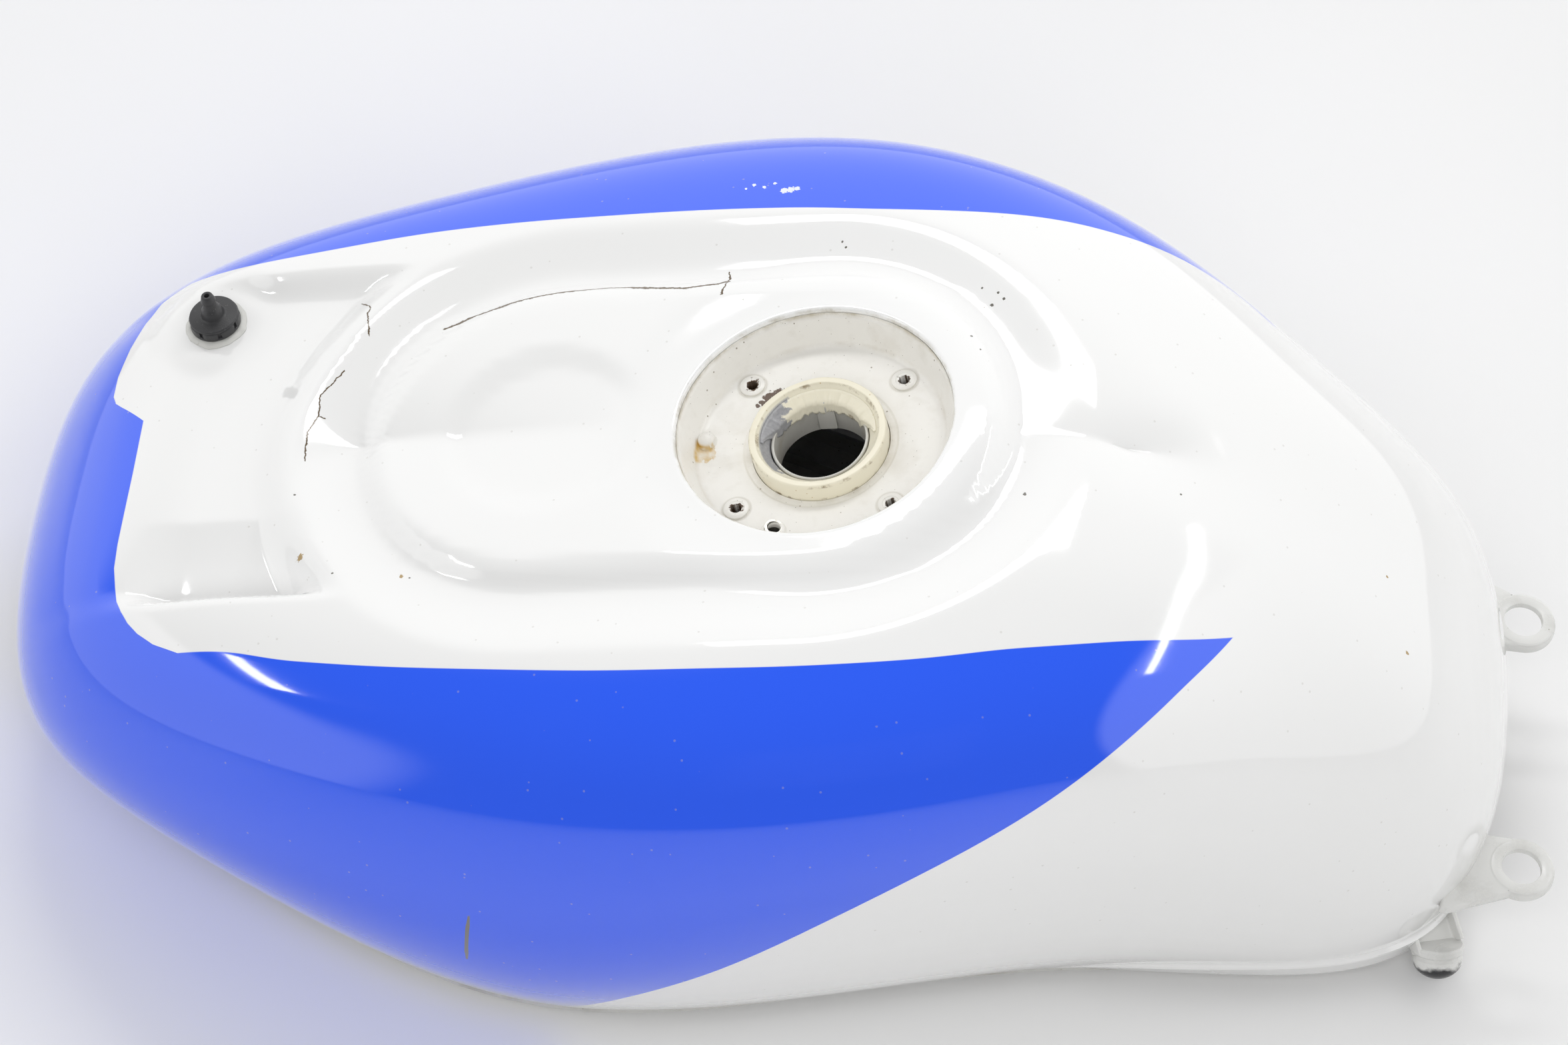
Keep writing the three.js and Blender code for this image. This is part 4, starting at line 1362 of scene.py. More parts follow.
@dataclass(frozen=True)
class RecessPaint(Finish):
    """The recess's white paint, dulled and dirty, with rust round the dowel and neck.

    Attributes:
        base: Its colour.
        hole: Painted shade down the screw holes: a near-black colour in their bores.
        rust: Rust patches on the floor in the filler's frame, as (x, y, radius) in millimetres.
        tint: Warm stains beside the dowel, given in the same way.
        rings: Where the washers left their marks, as (x, y).
        fine: How fine the edges of its patches are.
    """

    base: tuple = (0.84, 0.825, 0.785)
    hole: tuple = (0.045, 0.028, 0.014)
    rust: tuple = (
        (23.6, -28.4, 2.4), (21.2, -29.4, 2.2), (26.0, -26.8, 2.2), (28.4, -24.6, 1.6), (30.2, -22.6, 1.0),
        (33.5, -33.5, 3.1), (-33.5, -33.5, 2.7), (33.5, 33.5, 2.7), (-33.5, 33.5, 2.6), (41, -38.5, 0.8),
    )
    tint: tuple = ((52.6, 0.6, 5.2), (50.0, 3.0, 4.2), (53.5, 5.0, 3.2), (54.5, -2.0, 2.5))
    rings: tuple = ((33.5, 33.5), (33.5, -33.5), (-33.5, 33.5), (-33.5, -33.5))
    fine: float = 480.0

    def material(self) -> bpy.types.Material:
        """Builds the paint.

        Returns:
            The material.
        """
        material, g, shader = self.start()
        at = seat_coordinates(g, FILLER)
        split = g.add("ShaderNodeSeparateXYZ", {0: at})
        flat = g.vector("MULTIPLY", at, (1, 1, 0))
        grime = self.grime(g, at, 32.0, 0.52, 330.0)
        fine = self.grime(g, at, 160.0, 0.46, 900.0)
        colour = g.mix(g.math("MULTIPLY", grime.outputs["Blotch"], 0.4), self.base, (0.55, 0.50, 0.40))
        colour = g.mix(g.math("MULTIPLY", fine.outputs["Blotch"], 0.3), colour, (0.60, 0.57, 0.50))
        floor_z, rim_z = -0.0162, -0.0040
        depth = split.outputs[2]
        on_floor = g.fade(depth, floor_z + 0.001, floor_z - 0.001)
        for x, y in self.rings:
            distance = g.vector("DISTANCE", flat, (x * MM, y * MM, 0), "Value")
            apart = g.math("ABSOLUTE", g.math("SUBTRACT", distance, 0.0062))
            ring = g.math("SUBTRACT", 1.0, g.scaled(apart, 0.0, 0.0009))
            mark = g.math("MULTIPLY", g.math("MULTIPLY", ring, on_floor), 0.45)
            colour = g.mix(mark, colour, (0.47, 0.44, 0.36))
        reach = g.vector("LENGTH", flat, (0, 0, 0), "Value")
        corner = g.math("MULTIPLY", g.fade(reach, 0.0525, 0.0555), on_floor)
        foot = g.math("MULTIPLY", g.fade(reach, 0.0345, 0.0305), on_floor)
        edge = g.fade(depth, rim_z - 0.0012, rim_z + 0.0018)
        patchy = g.scaled(g.noise(at, 70.0, 5.0, 0.7), 0.42, 0.62)
        low_dirt = g.math("MULTIPLY", g.math("MAXIMUM", corner, foot), 0.35)
        dirt = g.math("MULTIPLY", g.math("MAXIMUM", low_dirt, edge), patchy)
        colour = g.mix(g.math("MULTIPLY", dirt, 0.7), colour, (0.40, 0.34, 0.22))
        cloudy = g.scaled(g.noise(at, 160.0, 3.0), 0.3, 0.62)
        warm = g.math("MULTIPLY", self.spots(g, flat, self.tint, 0.9, self.fine), cloudy)
        colour = g.mix(g.math("MULTIPLY", warm, on_floor), colour, (0.60, 0.40, 0.12))
        rusty = g.math("MULTIPLY", self.spots(g, flat, self.rust, 1.3, self.fine), on_floor)
        colour = g.mix(rusty, colour, (0.10, 0.055, 0.03))
        # Painted shade: the screw holes' bores are coloured near black.
        holes = [(x, y, 2.45) for x, y in self.rings]
        colour = g.mix(self.spots(g, flat, holes, 0.25, self.fine), colour, self.hole)
        colour = g.mix(fine.outputs["Speck"], colour, (0.16, 0.13, 0.09))
        colour = g.mix(g.math("MULTIPLY", grime.outputs["Speck"], 0.8), colour, (0.22, 0.18, 0.12))
        g.feed(shader.inputs["Base Color"], colour)
        g.feed(shader.inputs["Roughness"], g.scaled(grime.outputs["Blotch"], 0.0, 1.0, 0.28, 0.6))
        peel = g.place(self.effects.peel, {"Position": at, "Coarse": 420.0, "Fine": 2200.0}).outputs[0]
        self.bump(g, shader, peel, 0.25, 0.0002)
        return material


@dataclass(frozen=True)
class AgedPaint(Finish):
    """Plain paint with dirt in it, for the neck, ears, stays and underside.

    Attributes:
        base: Its colour.
        dirt: The dirt's colour.
        cover: How much of it the dirt covers.
        dirt_strength: How strong the dirt is.
        rough: Lowest and highest roughness.
        bare: Colour under the chips.
        chip_cover: How much is chipped.
    """

    base: tuple = (0.8, 0.8, 0.78)
    dirt: tuple = (0.45, 0.42, 0.36)
    cover: float = 0.5
    dirt_strength: float = 0.5
    rough: tuple = (0.25, 0.55)
    bare: tuple = (0.12, 0.09, 0.06)
    chip_cover: float = 0.32

    def material(self) -> bpy.types.Material:
        """Builds the paint.

        Returns:
            The material.
        """
        material, g, shader = self.start()
        at = coordinates(g)
        grime = self.grime(g, at, 55.0, self.cover, 420.0)
        chips = self.grime(g, at, 210.0, self.chip_cover, 900.0)
        colour = g.mix(g.math("MULTIPLY", grime.outputs["Blotch"], self.dirt_strength), self.base, self.dirt)
        colour = g.mix(grime.outputs["Speck"], colour, self.dirt)
        bare = g.scaled(chips.outputs["Blotch"], 0.35, 0.6)
        colour = g.mix(bare, colour, self.bare)
        g.feed(shader.inputs["Base Color"], colour)
        g.feed(shader.inputs["Roughness"], g.scaled(grime.outputs["Blotch"], 0.0, 1.0, *self.rough))
        peel = g.place(self.effects.peel, {"Position": at, "Coarse": 500.0, "Fine": 2600.0}).outputs[0]
        height = g.math("SUBTRACT", g.math("MULTIPLY", peel, 0.3), bare)
        self.bump(g, shader, height, 0.3, 0.00025)
        return material


@dataclass(frozen=True)
class NeckPaint(AgedPaint):
    """Cream paint on the neck, worn to grey metal in the throat and brown along its edges.

    Attributes:
        lip_r: The ring's outer radius in metres.
        throat_r: The throat's radius.
        top: The ring's height in the filler's frame.
        floor: The cup floor's height.
    """

    lip_r: float = NECK_R * MM
    throat_r: float = THROAT_R * MM
    top: float = NECK_TOP * MM
    floor: float = CUP_FLOOR * MM

    def material(self) -> bpy.types.Material:
        """Builds the paint with its wear.

        Returns:
            The material.
        """
        material = AgedPaint.material(self)
        g = Graph(material.node_tree)
        shader = next(n for n in g.tree.nodes if n.type == "BSDF_PRINCIPLED")
        colour = shader.inputs["Base Color"].links[0].from_socket
        at = seat_coordinates(g, FILLER)
        split = g.add("ShaderNodeSeparateXYZ", {0: at})
        reach = g.vector("LENGTH", g.vector("MULTIPLY", at, (1, 1, 0)), (0, 0, 0), "Value")
        patchy = g.scaled(g.noise(at, 130.0, 6.0, 0.75), 0.52, 0.66)
        inner = g.fade(g.math("ABSOLUTE", g.math("SUBTRACT", reach, self.throat_r)), 0.0010, 0.0002)
        outer = g.fade(g.math("ABSOLUTE", g.math("SUBTRACT", reach, self.lip_r)), 0.0006, 0.0001)
        high = g.fade(split.outputs[2], self.top - 0.0022, self.top - 0.0012)
        low = g.fade(split.outputs[2], self.floor + 0.0011, self.floor + 0.0003)
        edges = g.math("MAXIMUM", g.math("MULTIPLY", g.math("MAXIMUM", inner, outer), high), low)
        dirt = g.math("MULTIPLY", g.math("MULTIPLY", edges, patchy), 0.8)
        colour = g.mix(dirt, colour, (0.20, 0.13, 0.05))
        inside = g.fade(reach, self.throat_r - 0.0002, self.throat_r - 0.0012)
        swing = g.math("SUBTRACT", g.noise(at, 260.0, 4.0), 0.5)
        toward_nose = g.fade(g.math("MULTIPLY_ADD", swing, 0.02, split.outputs[0]), 0.0145, 0.0165)
        grey = g.mix(g.noise(at, 700.0, 3.0), (0.22, 0.22, 0.23), (0.42, 0.42, 0.43))
        g.feed(shader.inputs["Base Color"], g.mix(g.math("MULTIPLY", inside, toward_nose), colour, grey))
        return material


@dataclass(frozen=True)
class WornPad(AgedPaint):
    """White paint worn through to black at the tip of a stay's pad.

    Attributes:
        tips: The middle of each worn patch, in metres.
        radius: How far the wear reaches.
    """

    tips: tuple = ()
    radius: float = 0.0128

    def material(self) -> bpy.types.Material:
        """Builds the paint with its worn patches.

        Returns:
            The material.
        """
        material = AgedPaint.material(self)
        g = Graph(material.node_tree)
        shader = next(n for n in g.tree.nodes if n.type == "BSDF_PRINCIPLED")
        colour = shader.inputs["Base Color"].links[0].from_socket
        at = coordinates(g)
        worn: Feed = 0.0
        for tip in self.tips:
            inputs = {"Position": at, "Centre": tip, "Radius": self.radius, "Ragged": 0.42, "Scale": 150.0}
            worn = g.math("MAXIMUM", worn, g.place(self.effects.spot, inputs).outputs[0])
        scrape = g.scaled(g.noise(at, 300.0, 5.0, 0.7), 0.60, 0.70)
        black = g.mix(g.math("MULTIPLY", scrape, 0.7), (0.014, 0.014, 0.016), (0.16, 0.17, 0.18))
        g.feed(shader.inputs["Base Color"], g.mix(worn, colour, black))
        return material


@dataclass(frozen=True)
class Metal(Finish):
    """Dull metal with streaks and tarnish.

    Attributes:
        base: Its colour.
        tarnish: The tarnish's colour.
        rough: Lowest and highest roughness.
        metallic: How metallic it is.
        cover: How much tarnish covers it.
    """

    base: tuple = (0.55, 0.55, 0.53)
    tarnish: tuple = (0.30, 0.27, 0.22)
    rough: tuple = (0.3, 0.55)
    metallic: float = 0.9
    cover: float = 0.5

    def material(self) -> bpy.types.Material:
        """Builds the metal.

        Returns:
            The material.
        """
        material, g, shader = self.start()
        at = coordinates(g)
        grime = self.grime(g, at, 80.0, self.cover, 800.0)
        streak = g.noise(g.vector("MULTIPLY", at, (1, 1, 0.08)), 900.0, 3.0)
        colour = g.mix(g.math("MULTIPLY", grime.outputs["Blotch"], 0.7), self.base, self.tarnish)
        colour = g.mix(grime.outputs["Speck"], colour, self.tarnish)
        g.feed(shader.inputs["Base Color"], colour)
        shader.inputs["Metallic"].default_value = self.metallic
        g.feed(shader.inputs["Roughness"], g.scaled(streak, 0.3, 0.7, *self.rough))
        self.bump(g, shader, streak, 0.15, 0.0002)
        return material


@dataclass(frozen=True)
class Rubbery(Finish):
    """Moulded plastic or sealer with scuffs.

    Attributes:
        base: Its colour.
        scuff: The scuffs' colour.
        rough: Lowest and highest roughness.
        scuff_cover: How much is scuffed.
        grain: How strong its grain is.
    """

    base: tuple = (0.02, 0.02, 0.022)
    scuff: tuple = (0.32, 0.32, 0.31)
    rough: tuple = (0.4, 0.62)
    scuff_cover: float = 0.4
    grain: float = 0.3

    def material(self) -> bpy.types.Material:
        """Builds the finish.

        Returns:
            The material.
        """
        material, g, shader = self.start()
        at = coordinates(g)
        marks = self.grime(g, at, 260.0, self.scuff_cover, 1500.0)
        colour = g.mix(g.scaled(marks.outputs["Blotch"], 0.2, 0.6), self.base, self.scuff)
        colour = g.mix(marks.outputs["Speck"], colour, self.scuff)
        g.feed(shader.inputs["Base Color"], colour)
        g.feed(shader.inputs["Roughness"], g.scaled(marks.outputs["Blotch"], 0.0, 1.0, *self.rough))
        peel = g.place(self.effects.peel, {"Position": at, "Coarse": 1500.0, "Fine": 5000.0}).outputs[0]
        self.bump(g, shader, peel, self.grain, 0.0002)
        return material


# ---- recess and neck
@dataclass
class RecessCup:
    """The cup that the filler cap drops into, in millimetres in the filler's frame."""

    wall_r: float = 60.1
    ledge_z: float = -4.2
    floor_r: float = 54.6
    sheet: float = 1.5
    screw_hole: float = 4.0
    segments: int = 192

    def build(self, paint: bpy.types.Material) -> bpy.types.Object:
        """Builds the cup with its drain hole and screw holes.

        Args:
            paint: The recess paint.

        Returns:
            The finished piece.
        """
        floor = CUP_FLOOR
        inside = [
            (self.wall_r, -2.2, 0.2), (self.wall_r, self.ledge_z + 0.5, 0.5),
            (self.wall_r - 0.9, self.ledge_z - 0.6, 0.6), (self.floor_r + 1.9, floor + 5.5, 2.0),
            (self.floor_r - 0.4, floor, 4.5), (NECK_R + 4.0, floor, 1.0), (NECK_R + 3.2, floor - 0.35, 0.8),
            (NECK_R + 0.2, floor - 0.35, 0.2), (NECK_R + 0.2, floor - self.sheet - 0.35, 0.2),
        ]
        outside = [
            (self.floor_r + 1.0, floor - self.sheet, 4.5), (self.floor_r + 3.4, floor + 5.5, 2.0),
            (self.wall_r + 0.1, self.ledge_z - 1.5, 0.5), (self.wall_r + 0.1, -2.2, 0.2),
        ]
        profile = fillet(inside + outside, steps=5)[::-1]
        piece = bare_object("recess_cup", Soup.of(*lathe(profile, self.segments, FILLER)))
        upright = Seat((FILLER.origin[0], 0, 0))
        middle = FILLER.out(np.array([[*DRAIN_AT, floor]]) * MM)[0] / MM
        drain = rod_soup(DRAIN_R + 0.1, 150, 260, upright, (middle[0] - FILLER.origin[0] / MM, middle[1]))
        screws = []
        for turn in np.radians([45, 135, 225, 315]):
            at = (SCREW_CIRCLE * math.cos(turn), SCREW_CIRCLE * math.sin(turn))
            screws.append(rod_soup(self.screw_hole, floor - 6, floor + 6, FILLER, at))
        cut(piece, drain, *screws)
        return dress_piece(piece, paint, ["filler_cup"])


@dataclass
class DrainCollar:
    """The raised collar round the drain's mouth on the cup floor, in millimetres."""

    inner: float = DRAIN_R
    outer: float = 5.8

    def build(self, paint: bpy.types.Material) -> bpy.types.Object:
        """Builds the collar.

        Args:
            paint: The recess paint.

        Returns:
            The finished piece.
        """
        z = CUP_FLOOR
        profile = fillet([(self.inner, z - 0.6, 0), (self.outer, z - 0.2, 0),
                          (self.outer - 0.6, z + 0.9, 0.6), (self.inner + 0.5, z + 1.2, 0.6),
                          (self.inner, z + 0.4, 0.4)])
        points, faces = lathe(profile, 48)
        soup = Soup.of(FILLER.out(points + np.array([*DRAIN_AT, 0]) * MM), faces)
        return dress_piece(bare_object("drain_collar", soup), paint)


@dataclass
class Neck:
    """The filler neck with its gasket ring, in millimetres in the filler's frame."""

    bore: float = 21.5
    foot: float = -33.0
    segments: int = 192
    film_reach: float = 6.5
    film_ends: tuple = (-178, 8)
    film_wall: float = 0.2
    seed: int = 7

    def build(self, paint: bpy.types.Material) -> bpy.types.Object:
        """Builds the neck.

        Args:
            paint: The neck's cream paint.

        Returns:
            The finished piece.
        """
        r, b, t = NECK_R, self.bore, NECK_TOP
        profile = fillet([
            (b, self.foot, 0.3), (b + 3, self.foot, 0.3), (b + 3, CUP_FLOOR - 8, 1.5),
            (r, CUP_FLOOR - 6, 1.0), (r, t - 0.6, 0.7), (r - 0.5, t, 0.6),
            (THROAT_R + 0.5, t + 0.05, 0.5), (THROAT_R, t - 0.8, 0.6),
            (b + 2.6, t - 3.4, 1.5), (b, t - 6.4, 2.0),
        ], steps=5)

        def uneven(a: np.ndarray, radii: np.ndarray, z: np.ndarray) -> tuple:
            """Makes the sprayed edge slightly uneven."""
            wave = 0.10 * np.sin(3 * a + 1) + 0.06 * np.sin(7 * a) + 0.04 * np.sin(13 * a + 2)
            return radii + wave * (z > CUP_FLOOR), z + wave * (z > t - 3)

        soup = Soup.of(*lathe(profile, self.segments, FILLER, uneven))
        return dress_piece(bare_object("filler_neck_ring", soup), paint, ["filler_neck"])

    def build_film(self, paint: bpy.types.Material) -> bpy.types.Object:
        """Builds the torn film of old paint that hangs inside the bore.

        Args:
            paint: The neck's cream paint.

        Returns:
            The finished piece.
        """
        rng = np.random.default_rng(self.seed)
        turns, rows = 150, 9
        angle = np.radians(np.linspace(*self.film_ends, turns))
        torn = np.convolve(rng.uniform(0, 1, turns + 8), np.ones(5) / 5, "same")[4:-4]
        hang = self.film_reach * (0.45 + 0.9 * (torn - 0.3)) + 0.8 * rng.uniform(0, 1, turns)
        taper = np.clip(np.sin((angle - angle[0]) / (angle[-1] - angle[0]) * math.pi) * 2.2, 0.06, 1.0)
        hang *= taper
        curl = 1.6 * np.convolve(rng.uniform(0, 1, turns + 12), np.ones(9) / 9, "same")[6:-6]
        share = np.linspace(0, 1, rows)
        a, s = np.meshgrid(angle, share, indexing="ij")
        inside = self.bore - 2.0
        fall = after(0.0, 0.4, s) * taper[:, None]
        radius = inside + (THROAT_R - 1.3 - inside) * (1 - fall) - 1.1 * curl[:, None] * s**2
        z = NECK_TOP - 2.0 - (3.4 * taper[:, None] + hang[:, None]) * s
        top = np.stack([radius * np.cos(a), radius * np.sin(a), z], -1)
        points = FILLER.out(top.reshape(-1, 3) * MM)
        faces = []
        for i in range(turns - 1):
            for j in range(rows - 1):
                k = i * rows + j
                faces.append([k, k + 1, k + rows + 1, k + rows])
        piece = bare_object("neck_paint_film", Soup.of(points, faces))
        wall = piece.modifiers.new("wall", "SOLIDIFY")
        wall.thickness = self.film_wall * MM
        wall.offset = 0
        return dress_piece(piece, paint, crease=60)


@dataclass
class Sleeve:
    """The thin sleeve inside the neck with its folded tab, in millimetres in the filler's frame."""

    radius: float = 21.2
    wall: float = 1.3
    top: float = -15.2
    length: float = 17.0
    tab_half: float = 3.8
    tab_rise: float = 1.0

    def build(self, metal: bpy.types.Material) -> bpy.types.Object:
        """Builds the sleeve and its tab.

        Args:
            metal: The sleeve's metal.

        Returns:
            The finished piece.
        """
        r, w, t = self.radius, self.wall, self.top
        profile = fillet([(r - w, t - self.length, 0.2), (r, t - self.length, 0.2), (r, t - 0.2, 0.4),
                          (r - w, t, 0.6)], steps=4)
        soup = Soup.of(*lathe(profile, 144, FILLER))
        foot = t - self.length + 3
        section = fillet([(-r + w + 1.6, foot, 0.3), (-r + 0.4, t + self.tab_rise, 0.6),
                          (-r + 1.7, t + self.tab_rise, 0.6), (-r + w + 2.9, foot, 0.3)], steps=4)
        across = np.array([-1.0, -0.93, 0.93, 1.0]) * self.tab_half
        shrink = np.array([0.9, 1.0, 1.0, 0.9])
        rows = []
        middle = np.mean(np.array(section), 0)
        for x, s in zip(across, shrink):
            for y, z in section:
                rows.append((x, middle[0] + (y - middle[0]) * s, middle[1] + (z - middle[1]) * s))
        soup.add(FILLER.out(np.array(rows) * MM), bar_faces(len(across), len(section)))
        return dress_piece(bare_object("neck_inner_sleeve", soup), metal, ["neck_sleeve"])


@dataclass
class CapScrews:
    """The four threaded bosses of the cap screws and the locating dowel, in millimetres."""

    flange: float = 5.6
    hole: float = 2.2
    pitch: float = 0.8
    thread: float = 0.32
    threaded: float = 9.0
    dowel_r: float = 3.8
    dowel_at: tuple = (50.48, -3.53)

    def build(self, ring: RingTree, paint: bpy.types.Material) -> bpy.types.Object:
        """Builds the four bosses with their threads.

        Args:
            ring: The tree that sets them round the neck.
            paint: The recess paint.

        Returns:
            The finished piece.
        """
        z = CUP_FLOOR
        threads = []
        for i in range(int(self.threaded / self.pitch)):
            low = z - 8.2 + i * self.pitch
            threads += [(self.hole, low), (self.hole + self.thread, low + self.pitch / 2)]
        profile = [(self.hole, z - 9), (3.9, z - 9), (3.9, z), (self.flange, z - 0.1), (self.flange, z + 0.7),
                   (self.flange - 0.35, z + 0.95), (self.hole + 1.6, z + 1.05), (self.hole + 1.2, z + 0.75),
                   (self.hole + 0.5, z + 0.75), (self.hole, z + 0.45)]
        soup = Soup.of(*lathe(profile + threads[::-1], 40))
        piece = ring.copies("cap_screw_bosses", soup, 4, SCREW_CIRCLE, 45, FILLER, paint)
        nodes = [f"cap_screw_boss_{end}_{side}" for end in ("front", "rear") for side in ("left", "right")]
        return dress_piece(piece, paint, nodes)

    def build_dowel(self, paint: bpy.types.Material) -> bpy.types.Object:
        """Builds the domed dowel.

        Args:
            paint: The recess paint.

        Returns:
            The finished piece.
        """
        z, r = CUP_FLOOR, self.dowel_r
        dome = [(r * math.cos(t), z + 1.6 + 2.4 * math.sin(t)) for t in np.linspace(0, math.pi / 2, 10)]
        profile = [(0, z - 6), (3, z - 6), (3, z - 0.4), (r + 1.0, z - 0.2), (r + 0.4, z + 0.25),
                   (r, z + 0.9)]
        profile += dome[:-1] + [(0, z + 4)]
        points, faces = lathe(profile, 48)
        soup = Soup.of(FILLER.out(points + np.array([*self.dowel_at, 0]) * MM), faces)
        return dress_piece(bare_object("cap_dowel", soup), paint, ["locating_dowel"])


# ---- vent
@dataclass
class VentValve:
    """The vent's sealer ring and its castellated cap with a hose nipple, in millimetres."""

    seal_r: float = 14.0
    boss_r: float = 6.5
    cap_r: float = 11.5
    crown_r: float = 10.3
    teeth: int = 8
    deck: float = 7.4
    skirt: float = 3.1
    foot: float = 1.9
    bore: float = 1.2

    def build_seal(self, sealer: bpy.types.Material) -> bpy.types.Object:
        """Builds the bead of sealer round the boss.

        Args:
            sealer: The sealer's finish.

        Returns:
            The finished piece.
        """
        profile = fillet([(self.boss_r, 0.15, 0), (self.seal_r, 0.15, 0.2), (self.seal_r, 0.5, 0.5),
                          (self.seal_r - 1.6, 1.35, 0.8), (self.boss_r, 1.55, 0.3)], steps=5)

        def lumpy(a: np.ndarray, radii: np.ndarray, z: np.ndarray) -> tuple:
            """Gives the bead the waver of a hand-laid seam.

            Args:
                a: Angles.
                radii: Radii.
                z: Heights.

            Returns:
                The new radii and heights.
            """
            wave = 0.22 * np.sin(5 * a) + 0.16 * np.sin(9 * a + 1) + 0.1 * np.sin(17 * a + 2)
            outer = radii > self.seal_r - 2.5
            return radii + wave * outer, z + 0.12 * np.sin(11 * a) * (z > 0.5) * outer

        soup = Soup.of(*lathe(profile, 120, VENT, lumpy))
        return dress_piece(bare_object("vent_sealer", soup), sealer, ["vent_seal"], crease=40)

    def build_cap(self, ring: RingTree, plastic: bpy.types.Material) -> list[bpy.types.Object]:
        """Builds the cap's body and its teeth.

        Args:
            ring: The tree that sets the teeth round the cap.
            plastic: The cap's finish.

        Returns:
            The body and the teeth.
        """
        c, d = self.cap_r, self.deck
        inner = self.boss_r + 0.1
        profile = fillet([
            (inner, self.foot, 0.2), (c, self.foot, 0.4), (c, self.skirt, 0.4),
            (self.crown_r, self.skirt + 0.2, 0.2), (self.crown_r, d - 1.3, 0.2),
            (c - 0.35, d - 1.2, 0.3), (c - 0.45, d, 0.7), (5.4, d + 0.25, 0.8),
            (4.6, 11.3, 0.8), (3.3, 13.2, 0.8), (2.8, 16.8, 0.3), (3.5, 17.1, 0.3), (2.5, 20.5, 0.5),
            (self.bore, 20.5, 0.2), (self.bore, 12.6, 0.2), (2.8, 12.0, 0.2), (2.8, 5.9, 0.2),
            (inner, 5.9, 0.2),
        ], steps=4)
        body = bare_object("vent_cap_body", Soup.of(*lathe(profile, 96, VENT)))
        teeth = ring.copies("vent_cap_teeth", self._tooth(), self.teeth, 0.001, 0, VENT, plastic)
        return [
            dress_piece(body, plastic, ["vent_cap"], Body.VENT_CAP),
            dress_piece(teeth, plastic, (), Body.VENT_CAP),
        ]

    def _tooth(self) -> Soup:
        """One tooth of the cap's edge: an arc-shaped block with softened corners.

        Returns:
            Its shape.
        """
        half = math.pi / self.teeth * 0.80
        turns = np.linspace(-half, half, 7)
        squeeze = np.array([0.0, 1.0, 1.0, 1.0, 1.0, 1.0, 0.0])
        section = fillet([(self.crown_r - 0.4, self.skirt - 0.3, 0), (self.cap_r, self.skirt - 0.3, 0),
                          (self.cap_r, self.deck - 1.0, 0.8), (self.crown_r - 0.4, self.deck - 0.8, 0.2)],
                         steps=4)
        rows = []
        for turn, full in zip(turns, squeeze):
            for r, z in section:
                reach = r - (0.0 if full else 0.35 * (r > self.crown_r))
                drop = (0 if full else 0.2) * (z > 5)
                rows.append((reach * math.cos(turn), reach * math.sin(turn), z - drop))
        return Soup.of(np.array(rows) * MM, bar_faces(len(turns), len(section)))


